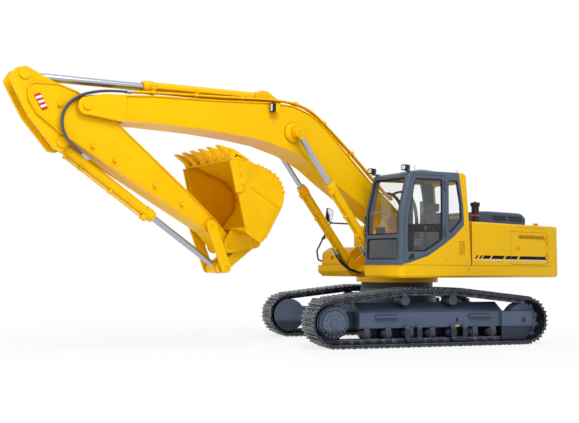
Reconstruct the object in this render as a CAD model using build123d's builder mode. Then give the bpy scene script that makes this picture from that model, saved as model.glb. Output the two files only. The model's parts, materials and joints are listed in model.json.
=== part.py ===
from build123d import *
import os
from math import atan2, cos, degrees, hypot, radians, sin

# Crawler excavator of about 36 t, standing with its upper structure slewed on its tracks.
# Row frame: +X is forward (towards the bucket), +Y is the cab side, +Z is up, ground at z = 0.
# Every x below is measured from the swing axis; SWING_X carries it into the row frame.

# ---------------------------------------------------------------- driving dimensions (mm)
SLEW = -20.0            # turn of the undercarriage under the upper structure, degrees
PLAY = 0.3              # gap at pins, bearings and seats
GAP = 6.0               # gap between moving pieces
MIN_GAP = 2.0           # seam between fixed panels

GAUGE = 2580            # track centre to track centre
SHOE_W = 600
SHOES = 48              # shoes in one track
TUMBLERS = 3820         # sprocket axle to idler axle
PITCH_R = 345           # chain pins round the sprocket and the idler
RAIL_IN = 45            # chain rail below the pin line
PLATE_OUT = 70          # outside of the shoe plate above the pin line
GROUSER = 30
TREAD = 210             # width of the chain over its rails
RAIL_T = 45
CARRIER_X = (500, -460)
CARRIER_R = 88
CARRIER_UP = 375        # carrier rollers above the axles
ROLLER_X = (1260, 848, 415, -20, -455, -890, -1275)
ROLLER_R = 82
BEAM_X = (TUMBLERS / 2 - 530, 400 - TUMBLERS / 2)
BEAM_Y = (1000, 1380)
BEAM_Z = (332, 600, 770)

RING_R = 700            # slewing ring
SKIRT_R = 800
HOUSE_Z = 1226          # underside of the revolving frame
DECK_Z = 1453
BODY_Z = 2285           # top of the side bodies
HOOD_Z = 2600
BODY_Y = 1450           # half width of the house
TAIL_X = -3400
BODY_REAR_X = -3000
HOUSE_X = -530          # back of the cab, front of the left body
TANK_X = (-1000, -175)

CAB_Y = (520, 1450)
CAB_WALL = 50
DOOR_X = 210            # hinge edge of the cab door
DOOR_HINGE_Z = (2060, 2900)

FOOT = (50, 2100)       # boom foot pin
BOOM_TIP = (6635, 3721)
BOOM_W = 560
ARM_W = 400
BUCKET_PIN = (4119, 1749)
ROCKER_PIN = (4495, 2060)
LINK_PIN = (3612, 1816)     # link on the bucket
ROD_PIN = (4213, 1382)      # bucket cylinder rod, rocker and link
BOOM_CYL = ((900, 1470), (2842, 3750))
BOOM_CYL_Y = 405
BOOM_CYL_EYE = 110      # width of the boom cylinders' eyes
ARM_CYL = ((3391, 4334), (7520, 4080))
BUCKET_CYL = ((6950, 3167), ROD_PIN)
BUCKET_W = 1440
PLATE = 30
TEETH = 6

ARM_HEAD_X = 7720       # furthest point of the arm's rear plates

AXLE_Z = PITCH_R + PLATE_OUT + GROUSER
TRACK_Y = GAUGE / 2
SWING_X = -(ARM_HEAD_X + TAIL_X) / 2

os.makedirs("parts", exist_ok=True)


# ---------------------------------------------------------------- frames and helpers
def turned(x, y):
    """A point of the undercarriage in the row frame."""
    c, s = cos(radians(SLEW)), sin(radians(SLEW))
    return (SWING_X + x * c - y * s, x * s + y * c)


def side(y):
    """Upper structure, seen from its left: local x, z; extrusion runs towards -Y."""
    return Plane(origin=(SWING_X, y, 0), x_dir=(1, 0, 0), z_dir=(0, -1, 0))


def level(z):
    return Plane(origin=(SWING_X, 0, z))


def front(x):
    """Upper structure, seen from the front: local y, z; extrusion runs towards +X."""
    return Plane(origin=(SWING_X + x, 0, 0), x_dir=(0, 1, 0), z_dir=(1, 0, 0))


def uc_side(y):
    c, s = cos(radians(SLEW)), sin(radians(SLEW))
    return Plane(origin=(*turned(0, y), 0), x_dir=(c, s, 0), z_dir=(s, -c, 0))


def uc_level(z):
    c, s = cos(radians(SLEW)), sin(radians(SLEW))
    return Plane(origin=(SWING_X, 0, z), x_dir=(c, s, 0))


def uc_front(x):
    c, s = cos(radians(SLEW)), sin(radians(SLEW))
    return Plane(origin=(*turned(x, 0), 0), x_dir=(-s, c, 0), z_dir=(c, s, 0))


def along(base, eye, y):
    """Plane at a cylinder's base pin with its z along the cylinder and its y across the machine."""
    length = hypot(eye[0] - base[0], eye[1] - base[1])
    ux, uz = (eye[0] - base[0]) / length, (eye[1] - base[1]) / length
    return Plane(origin=(SWING_X + base[0], y, base[1]), x_dir=(uz, 0, -ux), z_dir=(ux, 0, uz))


def outline(points, mode=Mode.ADD):
    """Closed outline through the points, filled."""
    Polygon(*points, align=None, mode=mode)


def rounded(points, radius, mode=Mode.ADD):
    """Filled outline with rounded corners: one radius for all of them, or one for each."""
    with BuildLine() as edge:
        FilletPolyline(*points, radius=radius, close=True)
    add(Face(Wire(edge.edges())), mode=mode)


def keep(piece, name):
    piece.part.label = name
    export_step(piece.part, f"parts/{name}.step")


def span(a, b):
    return hypot(b[0] - a[0], b[1] - a[1])


def fixed_lugs(x, y, z, wall_y):
    """Fixed half of a hinge with an upright pin: a lug above and one below the ring, and the pin."""
    toward = 1 if wall_y > y else -1
    for dz in (KNUCKLE_L + PLAY, -KNUCKLE_L - PLAY):
        with Locations((SWING_X + x, y, z + dz)):
            Cylinder(KNUCKLE_R, KNUCKLE_L)
        with Locations((SWING_X + x - HINGE_ARM / 2, wall_y - toward * HINGE_PLATE / 2, z + dz)):
            Box(HINGE_ARM, HINGE_PLATE, KNUCKLE_L)
    with Locations((SWING_X + x, y, z)):
        Cylinder(HINGE_PIN_R, 2 * KNUCKLE_L)


def moving_ring(x, y, z, wall_y):
    """Moving half of the same hinge: the ring between the lugs and its arm along the panel."""
    toward = 1 if wall_y > y else -1
    with Locations((SWING_X + x, y, z)):
        Cylinder(KNUCKLE_R, KNUCKLE_L)
    with Locations((SWING_X + x + HINGE_ARM / 2, wall_y - toward * HINGE_PLATE / 2, z)):
        Box(HINGE_ARM, HINGE_PLATE, KNUCKLE_L)
    with Locations((SWING_X + x, y, z)):
        Cylinder(HINGE_PIN_R + PLAY, 2 * KNUCKLE_L, mode=Mode.SUBTRACT)


SIDES = (("left", 1), ("right", -1))
FROM_BASE = (Align.CENTER, Align.CENTER, Align.MIN)
KNUCKLE_R = 14          # hinges of the doors and the hood
KNUCKLE_L = 60
HINGE_PIN_R = 7
HINGE_ARM = 60
HINGE_PLATE = 10
HINGE_OUT = KNUCKLE_R + 3   # pin line outside the panel it lies on

# ---------------------------------------------------------------- tracks
with BuildSketch() as pin_line:
    with Locations((TUMBLERS / 2, AXLE_Z), (-TUMBLERS / 2, AXLE_Z)):
        Circle(PITCH_R)
    with Locations(*((x, AXLE_Z + CARRIER_UP) for x in CARRIER_X)):
        Circle(CARRIER_R + RAIL_IN)
    make_hull()

# Shoe outline over one link: distance along the link as a share, height above the pin line.
SHOE = (
    (0.02, PLATE_OUT), (0.06, PLATE_OUT + GROUSER), (0.13, PLATE_OUT + GROUSER), (0.19, PLATE_OUT),
    (0.42, PLATE_OUT), (0.47, PLATE_OUT + GROUSER), (0.53, PLATE_OUT + GROUSER), (0.58, PLATE_OUT),
    (0.83, PLATE_OUT), (0.88, PLATE_OUT + GROUSER), (0.95, PLATE_OUT + GROUSER), (0.98, PLATE_OUT),
)


def shoe_loop():
    """Outer edge of the track: the shoe outline laid on each straight link of the chain."""
    chain = pin_line.sketch.faces()[0].outer_wire()
    pins = [chain @ (i / SHOES) for i in range(SHOES)]
    turn = 1 if chain.is_closed and Face(chain).normal_at().Z > 0 else -1
    points = []
    for pin, nxt in zip(pins, pins[1:] + pins[:1]):
        link = nxt - pin
        out = Vector(link.Y, -link.X).normalized() * turn
        points += [pin + link * share + out * height for share, height in SHOE]
    return [(p.X, p.Y) for p in points]


shoe_points = shoe_loop()

for name, hand in SIDES:
    outer_y = hand * TRACK_Y + SHOE_W / 2
    with BuildPart() as track:
        with BuildSketch(uc_side(outer_y)) as band:
            outline(shoe_points)
            with BuildSketch(mode=Mode.PRIVATE) as inner:
                add(pin_line.sketch)
                offset(amount=PLATE_OUT - 40)
            add(inner.sketch, mode=Mode.SUBTRACT)
        extrude(amount=SHOE_W)
        for rail_y in (TREAD / 2, RAIL_T - TREAD / 2):
            with BuildSketch(uc_side(hand * TRACK_Y + rail_y)) as rail:
                with BuildSketch(mode=Mode.PRIVATE) as over:
                    add(pin_line.sketch)
                    offset(amount=PLATE_OUT - 35)
                with BuildSketch(mode=Mode.PRIVATE) as under:
                    add(pin_line.sketch)
                    offset(amount=-RAIL_IN)
                add(over.sketch)
                add(under.sketch, mode=Mode.SUBTRACT)
            extrude(amount=RAIL_T)
    keep(track, f"track_{name}")

# ---------------------------------------------------------------- track frames
YOKE_T = 40
YOKE_BACK = TUMBLERS / 2 + 190  # rear edge of the idler yoke
YOKE_Y = TREAD / 2 + 12     # from the track's middle to the yoke plates
YOKE_Z = (85, 330, 605)     # foot, fold and top
YOKE_STEP = 18              # the outer plate is thinner below its fold
AXLE_HOLE_R = 48
POST = (110, 100)           # foot of a carrier roller's post
HUB_R = 240
MOTOR_R = 320
MOTOR_PLATE_T = 80
GUARD_X = (370, -550)
GUARD_Y = (1440, 1460)
GUARD_Z = (80, 365)
GUARD_W = (165, 75)         # half width outside and inside the U
LEDGES = ((875, 430), (-1010, 480))
LEDGE_Y = (BEAM_Y[1], BEAM_Y[1] + 80)
LEDGE_T = 25
SLOT = (-545, 455, 90, 45)  # place and size of the slot in the beam's side
SLOT_DEEP = 25
yoke = [
    (BEAM_X[1] + 60, 100), (BEAM_X[1] + 60, YOKE_Z[2]), (-YOKE_BACK, YOKE_Z[2]), (-YOKE_BACK, YOKE_Z[1]),
    (45 - TUMBLERS / 2 - 90, YOKE_Z[0]), (45 - TUMBLERS / 2, YOKE_Z[0]),
]

for name, hand in SIDES:
    with BuildPart() as beam:
        with BuildSketch(uc_front(BEAM_X[1])):
            outline([
                (hand * BEAM_Y[1], BEAM_Z[0]), (hand * BEAM_Y[1], BEAM_Z[1]),
                (hand * (BEAM_Y[0] + 120), BEAM_Z[2]), (hand * (BEAM_Y[0] + 40), BEAM_Z[2]),
                (hand * BEAM_Y[0], BEAM_Z[1]), (hand * BEAM_Y[0], BEAM_Z[0]),
            ])
        extrude(amount=BEAM_X[0] - BEAM_X[1])
        # mounting plate of the travel motor, inboard of the sprocket
        plate_y = BEAM_Y[0] + (MOTOR_PLATE_T if hand > 0 else 0)
        with BuildSketch(uc_side(hand * plate_y)):
            with Locations((TUMBLERS / 2, AXLE_Z)):
                Circle(MOTOR_R)
            with Locations(((TUMBLERS / 2 + BEAM_X[0]) / 2 - 60, AXLE_Z + 20)):
                Rectangle(TUMBLERS / 2 - BEAM_X[0] + 120, 300)
        extrude(amount=MOTOR_PLATE_T)
        # idler yoke, one plate each side of the idler
        for off in (YOKE_Y + YOKE_T, -YOKE_Y):
            with BuildSketch(uc_side(hand * TRACK_Y + off)):
                rounded(yoke, (0, 0, 25, 25, 30, 0))
            extrude(amount=YOKE_T)
        outer_y = TRACK_Y + YOKE_Y + YOKE_T
        # the outer plate steps in below its fold and shows the axle's end through a hole
        with BuildSketch(uc_side(max(hand * outer_y, hand * (outer_y - YOKE_STEP)))):
            outline([
                (BEAM_X[1] + 100, YOKE_Z[0] - 10), (BEAM_X[1] + 100, YOKE_Z[1]),
                (-YOKE_BACK - 10, YOKE_Z[1]), (-YOKE_BACK - 10, YOKE_Z[0] - 10),
            ])
        extrude(amount=YOKE_STEP, mode=Mode.SUBTRACT)
        with BuildSketch(uc_side(max(hand * outer_y, hand * (outer_y - YOKE_T)))):
            with Locations((-TUMBLERS / 2, AXLE_Z)):
                Circle(AXLE_HOLE_R)
        extrude(amount=YOKE_T, mode=Mode.SUBTRACT)
        # carrier roller posts
        for x in CARRIER_X:
            with BuildSketch(uc_level(BEAM_Z[0] + 100)):
                with Locations((x, hand * (BEAM_Y[0] + 90))):
                    Rectangle(*POST)
            extrude(amount=AXLE_Z + CARRIER_UP + 60 - BEAM_Z[0] - 100)
        # spacer between the beam and the outer yoke plate
        with BuildSketch(uc_side(max(hand * BEAM_Y[1], hand * outer_y))):
            outline([
                (BEAM_X[1], BEAM_Z[0]), (BEAM_X[1], YOKE_Z[2] - 10), (BEAM_X[1] + 60, YOKE_Z[2] - 10),
                (BEAM_X[1] + 60, BEAM_Z[0]),
            ])
        extrude(amount=outer_y - BEAM_Y[1])
        # U-shaped track guards outside two of the rollers
        for x in GUARD_X:
            with BuildSketch(uc_side(max(hand * GUARD_Y[1], hand * GUARD_Y[0]))):
                rounded([
                    (x - GUARD_W[0], GUARD_Z[1]), (x - GUARD_W[0], GUARD_Z[0]),
                    (x + GUARD_W[0], GUARD_Z[0]), (x + GUARD_W[0], GUARD_Z[1]),
                    (x + GUARD_W[1], GUARD_Z[1]), (x + GUARD_W[1], GUARD_Z[0] + 75),
                    (x - GUARD_W[1], GUARD_Z[0] + 75), (x - GUARD_W[1], GUARD_Z[1]),
                ], (0, 70, 70, 0, 0, 30, 30, 0))
            extrude(amount=GUARD_Y[1] - GUARD_Y[0])
            with BuildSketch(uc_side(max(hand * BEAM_Y[1], hand * GUARD_Y[0]))):
                for sx in (1, -1):
                    with Locations((x + sx * (GUARD_W[0] + GUARD_W[1]) / 2, GUARD_Z[1] - 15)):
                        Rectangle(GUARD_W[0] - GUARD_W[1], 30)
            extrude(amount=GUARD_Y[0] - BEAM_Y[1])
        # step ledges
        for x, long in LEDGES:
            with BuildSketch(uc_level(BEAM_Z[1] - 80)):
                with Locations((x, hand * (LEDGE_Y[0] + LEDGE_Y[1]) / 2)):
                    Rectangle(long, LEDGE_Y[1] - LEDGE_Y[0])
            extrude(amount=LEDGE_T)
        # slot in the beam's side
        with BuildSketch(uc_side(max(hand * BEAM_Y[1], hand * (BEAM_Y[1] - SLOT_DEEP)))):
            with Locations(SLOT[:2]):
                SlotOverall(SLOT[2], SLOT[3], rotation=90)
        extrude(amount=SLOT_DEEP, mode=Mode.SUBTRACT)
    keep(beam, f"track_frame_{name}")

# ---------------------------------------------------------------- sprockets with final drives
SPROCKET_TEETH = 21
# radius and outer end of each step of the final drive
DRIVE = ((290, 1455), (262, 1500), (207, 1530), (70, 1545))
PLATE_HALF = 35

for name, hand in SIDES:
    start = BEAM_Y[0] + MOTOR_PLATE_T
    with BuildPart() as sprocket:
        with BuildSketch(uc_side(hand * TRACK_Y + PLATE_HALF)) as wheel:
            with Locations((TUMBLERS / 2, AXLE_Z)):
                Circle(PITCH_R - RAIL_IN - 12)
            with Locations((TUMBLERS / 2, AXLE_Z)):
                with PolarLocations(PITCH_R - RAIL_IN - 14, SPROCKET_TEETH):
                    Trapezoid(54, 60, 70, rotation=-90, align=(Align.CENTER, Align.MIN))
        extrude(amount=2 * PLATE_HALF)
        inner = start
        for r, outer in ((HUB_R, TRACK_Y), *DRIVE):
            with BuildSketch(uc_side(max(hand * inner, hand * outer))):
                with Locations((TUMBLERS / 2, AXLE_Z)):
                    Circle(r)
            extrude(amount=outer - inner)
            inner = outer
    keep(sprocket, f"sprocket_{name}")

# ---------------------------------------------------------------- idlers
IDLER_R = PITCH_R - RAIL_IN - PLAY
for name, hand in SIDES:
    with BuildPart() as idler:
        for r, half in ((IDLER_R, TREAD / 2), (IDLER_R + 25, TREAD / 2 - RAIL_T - 6), (90, YOKE_Y - PLAY)):
            with BuildSketch(uc_side(hand * TRACK_Y + half)):
                with Locations((-TUMBLERS / 2, AXLE_Z)):
                    Circle(r)
            extrude(amount=2 * half)
    keep(idler, f"idler_{name}")

# ---------------------------------------------------------------- rollers
RAIL_TOP = AXLE_Z - PITCH_R + RAIL_IN
HANGER = (96, 30)       # plates that carry a roller
CARRIER_PIN_R = 40
for name, hand in SIDES:
    with BuildPart() as rollers:
        for x in ROLLER_X:
            z = RAIL_TOP + PLAY + ROLLER_R
            for r, half in ((ROLLER_R, TREAD / 2), (ROLLER_R + 14, TREAD / 2 - RAIL_T - 6), (38, 135)):
                with BuildSketch(uc_side(hand * TRACK_Y + half)):
                    with Locations((x, z)):
                        Circle(r)
                extrude(amount=2 * half)
            for off in (TREAD / 2 + 34, -TREAD / 2 - 4):
                with BuildSketch(uc_side(hand * TRACK_Y + off)):
                    with Locations((x, (z + BEAM_Z[0]) / 2 - 20)):
                        Rectangle(HANGER[0], BEAM_Z[0] - z + 40)
                extrude(amount=HANGER[1])
        for x in CARRIER_X:
            with BuildSketch(uc_side(hand * TRACK_Y + TREAD / 2)):
                with Locations((x, AXLE_Z + CARRIER_UP)):
                    Circle(CARRIER_R - PLAY)
            extrude(amount=TREAD)
            inner = BEAM_Y[0] + 140
            with BuildSketch(uc_side(max(hand * inner, hand * (TRACK_Y - TREAD / 2)))):
                with Locations((x, AXLE_Z + CARRIER_UP)):
                    Circle(CARRIER_PIN_R)
            extrude(amount=TRACK_Y - TREAD / 2 - inner)
    keep(rollers, f"rollers_{name}")

# ---------------------------------------------------------------- car body and slewing ring
RING_Z = (1010, HOUSE_Z - 0.5)
LEG_Z = (470, 800)
CAR_R = 760
LUG_R = 32              # upright bore of a lashing lug
LUG_L = 200
LUG_SPOT = (915, 330, 560)
LUG_T = 40
with BuildPart() as car_body:
    with BuildSketch(uc_level(LEG_Z[0])):
        inner = BEAM_Y[0]
        outline([
            (1050, inner), (520, inner), (350, 520), (-350, 520), (-520, inner), (-1050, inner),
            (-800, 300), (-800, -300), (-1050, -inner), (-520, -inner), (-350, -520), (350, -520),
            (520, -inner), (1050, -inner), (800, -300), (800, 300),
        ])
    extrude(amount=LEG_Z[1] - 130 - LEG_Z[0])
    with BuildSketch(uc_level(LEG_Z[0])):
        Circle(CAR_R)
    extrude(amount=LEG_Z[1] + 60 - LEG_Z[0])
    with BuildSketch(uc_level(LEG_Z[1])):
        Circle(RING_R + 20)
    extrude(amount=RING_Z[0] - LEG_Z[1])
    # lashing lugs at both ends
    for sx in (1, -1):
        for y in (LUG_SPOT[1], -LUG_SPOT[1]):
            with BuildSketch(uc_level(LUG_SPOT[2] - LUG_T / 2)):
                with Locations((sx * (LUG_SPOT[0] - LUG_L / 2), y)):
                    Rectangle(LUG_L, 2 * LUG_R + 60)
                with Locations((sx * LUG_SPOT[0], y)):
                    Circle(LUG_R + 30)
                    Circle(LUG_R, mode=Mode.SUBTRACT)
            extrude(amount=LUG_T)
keep(car_body, "car_body")

with BuildPart() as slew_ring:
    with BuildSketch(uc_level(RING_Z[0])):
        Circle(RING_R)
        Circle(RING_R - 130, mode=Mode.SUBTRACT)
    extrude(amount=RING_Z[1] - RING_Z[0])
keep(slew_ring, "slew_ring")

# ---------------------------------------------------------------- revolving frame
BRACKET_Y = (BOOM_W / 2 + GAP, BOOM_W / 2 + GAP + 30)
PIN_R = 60
PIN_OUT = 20            # pins past the plates that hold them
FOOT_PIN_OUT = 25
EAR_PIN_OUT = 15
CYL_FOOT_R = 100
RIGHT_X = 840           # front of the right-hand platform
NOSE = (704, 1329)      # its underside slopes from this x up to this z
CAB_FRONT_X = 1360
with BuildPart() as revolving_frame:
    with BuildSketch(level(HOUSE_Z)):
        rounded(
            [
                (BODY_REAR_X, BODY_Y), (CAB_FRONT_X, BODY_Y), (CAB_FRONT_X, CAB_Y[0]), (520, CAB_Y[0]),
                (520, -CAB_Y[0]), (RIGHT_X, -CAB_Y[0]), (RIGHT_X, -BODY_Y), (BODY_REAR_X, -BODY_Y),
            ],
            (0, 90, 0, 0, 0, 0, 40, 0),
        )
    extrude(amount=DECK_Z - HOUSE_Z)
    chamfer(
        revolving_frame.edges().group_by(Axis.Z)[0].filter_by(Axis.X).filter_by_position(
            Axis.Y, BODY_Y - 1, BODY_Y + 1
        ), 35,
    )
    with BuildSketch(side(PLAY - CAB_Y[0])):
        outline([(RIGHT_X, HOUSE_Z), (NOSE[0], HOUSE_Z), (RIGHT_X, NOSE[1])])
    extrude(amount=BODY_Y, mode=Mode.SUBTRACT)
    with BuildSketch(level(HOUSE_Z)):
        Circle(SKIRT_R)
        Circle(SKIRT_R - 20, mode=Mode.SUBTRACT)
    extrude(amount=-100)
    for y in (BRACKET_Y[1], -BRACKET_Y[0]):
        with BuildSketch(side(y)):
            rounded([
                (-900, HOUSE_Z), (-900, DECK_Z + 150), (-120, FOOT[1] + 60), (FOOT[0] - 40, FOOT[1] + 150),
                (FOOT[0] + 60, FOOT[1] + 150), (FOOT[0] + 150, FOOT[1] + 60), (560, 1720),
                (BOOM_CYL[0][0] - 70, BOOM_CYL[0][1] + 70), BOOM_CYL[0],
                (BOOM_CYL[0][0] + 40, BOOM_CYL[0][1] - 92), (520, HOUSE_Z),
            ], (0, 80, 100, 60, 60, 60, 150, 0, 0, 0, 0))
            with Locations(BOOM_CYL[0]):
                Circle(CYL_FOOT_R)
        extrude(amount=BRACKET_Y[1] - BRACKET_Y[0])
    # boom foot pin
    with BuildSketch(side(BRACKET_Y[1] + FOOT_PIN_OUT)):
        with Locations(FOOT):
            Circle(PIN_R)
    extrude(amount=2 * (BRACKET_Y[1] + FOOT_PIN_OUT))
    # foot pins of the boom cylinders
    for sy in (1, -1):
        y0, y1 = BRACKET_Y[0], BOOM_CYL_Y + BOOM_CYL_EYE / 2 + 5
        with BuildSketch(side(max(sy * y0, sy * y1))):
            with Locations(BOOM_CYL[0]):
                Circle(PIN_R - 5)
        extrude(amount=y1 - y0)
    # front cross member between the plates
    with BuildSketch(side(BRACKET_Y[0])):
        outline([(520, HOUSE_Z), (520, DECK_Z), (700, DECK_Z), (850, DECK_Z - 110)])
    extrude(amount=2 * BRACKET_Y[0])
keep(revolving_frame, "revolving_frame")

# ---------------------------------------------------------------- counterweight
TAIL_R = 150            # its upright rear corners
TAIL_LOW_R = 60         # round its lower edge
TAIL_TOP_R = 35
EYE = (-3200, 1000)     # lifting eyes: place, size, bore and thickness
EYE_SIZE = (140, 90)
EYE_R = 28
EYE_UP = 50             # bore over the counterweight's top
EYE_T = 40
with BuildPart() as counterweight:
    with BuildSketch(level(HOUSE_Z)):
        rounded(
            [(BODY_REAR_X, -BODY_Y), (BODY_REAR_X, BODY_Y), (TAIL_X, BODY_Y), (TAIL_X, -BODY_Y)],
            (0, 0, TAIL_R, TAIL_R),
        )
    extrude(amount=BODY_Z - HOUSE_Z)
    for group, r in ((0, TAIL_LOW_R), (-1, TAIL_TOP_R)):
        rim = counterweight.edges().group_by(Axis.Z)[group]
        fillet(rim.filter_by_position(Axis.X, SWING_X + TAIL_X - 1, SWING_X + BODY_REAR_X - 1), r)
    for hand in (1, -1):
        with BuildSketch(side(hand * EYE[1] + EYE_T / 2)):
            with Locations((EYE[0], BODY_Z - 5)):
                Rectangle(*EYE_SIZE, align=(Align.CENTER, Align.MIN))
            with Locations((EYE[0], BODY_Z + EYE_UP)):
                Circle(EYE_R, mode=Mode.SUBTRACT)
        extrude(amount=EYE_T)
keep(counterweight, "counterweight")

# ---------------------------------------------------------------- side bodies, hollow behind their doors
SKIN = 20
EDGE_R = 40             # rounded upper outer edge
SIDE_DOOR_X = (-1722, -2940)
SIDE_DOOR_Z = (DECK_Z + 25, 2140)
SIDE_HINGE_X = SIDE_DOOR_X[1] + GAP / 2
SIDE_HINGE_Z = (SIDE_DOOR_Z[0] + 150, SIDE_DOOR_Z[1] - 150)
HOOD_Y = 750
RECESS = [(-1917, 2238), (-2847, 2238), (-2879, 2175), (-2046, 2180)]
GRILLE = [(-1938, 2078), (-2841, 2082), (-2908, 1976), (-2021, 1993)]
PRESSED = 10            # depth of the recess and of the grille's field
SLATS = 12
SLAT = ((0, 0), (45, 0), (15, -62), (-30, -62))
for name, hand, x0 in (("left", 1, HOUSE_X), ("right", -1, TANK_X[0] - MIN_GAP)):
    skin_y = max(hand * (BODY_Y - SKIN), hand * BODY_Y)
    pressed_y = max(hand * (BODY_Y - PRESSED), hand * BODY_Y)
    with BuildPart() as body:
        y_hi = max(hand * BODY_Y, hand * (HOOD_Y + MIN_GAP))
        width = BODY_Y - HOOD_Y - MIN_GAP
        with BuildSketch(side(y_hi)):
            outline([
                (BODY_REAR_X + MIN_GAP, DECK_Z), (BODY_REAR_X + MIN_GAP, BODY_Z),
                (x0, BODY_Z), (x0, DECK_Z),
            ])
        extrude(amount=width)
        long_edges = body.edges().filter_by(Axis.X)
        fillet(long_edges.sort_by(lambda e: hand * e.center().Y + e.center().Z)[-1], EDGE_R)
        with BuildSketch(side(y_hi - SKIN)):
            outline([
                (BODY_REAR_X + SKIN, DECK_Z + SKIN), (BODY_REAR_X + SKIN, BODY_Z - SKIN),
                (-1700, BODY_Z - SKIN), (-1700, DECK_Z + SKIN),
            ])
        extrude(amount=width - 2 * SKIN, mode=Mode.SUBTRACT)
        with BuildSketch(side(skin_y)):
            outline([
                (SIDE_DOOR_X[0], SIDE_DOOR_Z[0]), (SIDE_DOOR_X[0], SIDE_DOOR_Z[1]),
                (SIDE_DOOR_X[1], SIDE_DOOR_Z[1]), (SIDE_DOOR_X[1], SIDE_DOOR_Z[0]),
            ])
        extrude(amount=SKIN, mode=Mode.SUBTRACT)
        with BuildSketch(side(pressed_y)):
            rounded(RECESS, 12)
        extrude(amount=PRESSED, mode=Mode.SUBTRACT)
        for z in SIDE_HINGE_Z:
            fixed_lugs(SIDE_HINGE_X, hand * (BODY_Y + HINGE_OUT), z, hand * BODY_Y)
    keep(body, f"body_{name}")

    with BuildPart() as door:
        with BuildSketch(side(skin_y)):
            outline([
                (SIDE_DOOR_X[0] - GAP, SIDE_DOOR_Z[0] + GAP), (SIDE_DOOR_X[0] - GAP, SIDE_DOOR_Z[1] - GAP),
                (SIDE_DOOR_X[1] + GAP, SIDE_DOOR_Z[1] - GAP), (SIDE_DOOR_X[1] + GAP, SIDE_DOOR_Z[0] + GAP),
            ])
        extrude(amount=SKIN)
        with BuildSketch(side(pressed_y)):
            rounded(GRILLE, 12)
        extrude(amount=PRESSED, mode=Mode.SUBTRACT)
        with BuildSketch(side(skin_y)):
            for i in range(SLATS):
                x = GRILLE[1][0] + 25 + (GRILLE[0][0] - GRILLE[1][0] - 90) * i / (SLATS - 1)
                outline([(x + dx, GRILLE[0][1] - 14 + dz) for dx, dz in SLAT])
        extrude(amount=SKIN, mode=Mode.SUBTRACT)
        for z in SIDE_HINGE_Z:
            moving_ring(SIDE_HINGE_X, hand * (BODY_Y + HINGE_OUT), z, hand * BODY_Y)
    keep(door, f"side_door_{name}")


# ---------------------------------------------------------------- engine, hood and stacks
ENGINE_X = -2320        # middle of the engine and its pumps
ENGINE = (1280, 1100, 870)
with BuildPart() as engine_block:
    with Locations((SWING_X + ENGINE_X, 0, DECK_Z)):
        Box(*ENGINE, align=FROM_BASE)
keep(engine_block, "engine_block")

HOOD_X = (-3180, -1640)
HOOD_FOOT = BODY_Z + 60 # lower edge of the hood
MIDDLE_Z = HOOD_FOOT - GAP
HOOD_SKIN = 15
HOOD_R = 90             # rounded shoulders
HOOD_HINGE = (HOOD_X[1] + KNUCKLE_R + 3, MIDDLE_Z + KNUCKLE_R + 3)
HOOD_HINGE_Y = (500, -500)
VENTS = ((-2520, 7), (-3060, 7))    # first slot and number of slots of each group
VENT = ((0, 0), (40, 0), (22, -42), (-18, -42))
hood_side = [
    (HOOD_X[0], HOOD_FOOT), (HOOD_X[0] - 20, BODY_Z + 190), (HOOD_X[0] + 120, HOOD_Z),
    (-1980, HOOD_Z - 10), (HOOD_X[1], HOOD_Z - 30), (HOOD_X[1], HOOD_FOOT),
]
hood_room = [
    (HOOD_X[0] + HOOD_SKIN, HOOD_FOOT), (HOOD_X[0] + HOOD_SKIN, HOOD_Z - 130),
    (HOOD_X[0] + 130, HOOD_Z - HOOD_SKIN), (-1980, HOOD_Z - 10 - HOOD_SKIN),
    (HOOD_X[1] - HOOD_SKIN, HOOD_Z - 30 - HOOD_SKIN), (HOOD_X[1] - HOOD_SKIN, HOOD_FOOT),
]
with BuildPart() as engine_hood:
    for points, radii, skin, mode in (
        (hood_side, (0, 60, 120, 300, 60, 0), 0, Mode.ADD),
        (hood_room, (0, 40, 100, 300, 40, 0), HOOD_SKIN, Mode.SUBTRACT),
    ):
        with BuildPart(mode=Mode.PRIVATE) as block:
            with BuildSketch(side(HOOD_Y - skin)):
                rounded(points, radii)
            extrude(amount=2 * (HOOD_Y - skin))
            with BuildSketch(front(HOOD_X[0] - 100)):
                rounded(
                    [
                        (HOOD_Y - skin, HOOD_FOOT), (HOOD_Y - skin, HOOD_Z - skin),
                        (skin - HOOD_Y, HOOD_Z - skin), (skin - HOOD_Y, HOOD_FOOT),
                    ],
                    (0, HOOD_R - skin, HOOD_R - skin, 0),
                )
            extrude(amount=HOOD_X[1] - HOOD_X[0] + 200, mode=Mode.INTERSECT)
        add(block.part, mode=mode)
    # two rows of slanted slots in two groups on each side
    for y in (HOOD_Y, 2 * HOOD_SKIN - HOOD_Y):
        with BuildSketch(side(y)):
            for first, count in VENTS:
                for i in range(count):
                    for row in (0, 1):
                        x = first + 66 * i + 30 * row
                        outline([(x + dx, HOOD_Z - 95 - 55 * (1 - row) + dz) for dx, dz in VENT])
        extrude(amount=2 * HOOD_SKIN, mode=Mode.SUBTRACT)
    for y in HOOD_HINGE_Y:
        with Locations((SWING_X + HOOD_HINGE[0], y, HOOD_HINGE[1])):
            Cylinder(KNUCKLE_R, KNUCKLE_L, rotation=(90, 0, 0))
        with Locations((SWING_X + HOOD_X[1], y, HOOD_HINGE[1])):
            Box(KNUCKLE_R, KNUCKLE_L, HINGE_PLATE, align=(Align.MIN, Align.CENTER, Align.CENTER))
        with Locations((SWING_X + HOOD_HINGE[0], y, HOOD_HINGE[1])):
            Cylinder(HINGE_PIN_R + PLAY, 2 * KNUCKLE_L, rotation=(90, 0, 0), mode=Mode.SUBTRACT)
keep(engine_hood, "engine_hood")

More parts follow.
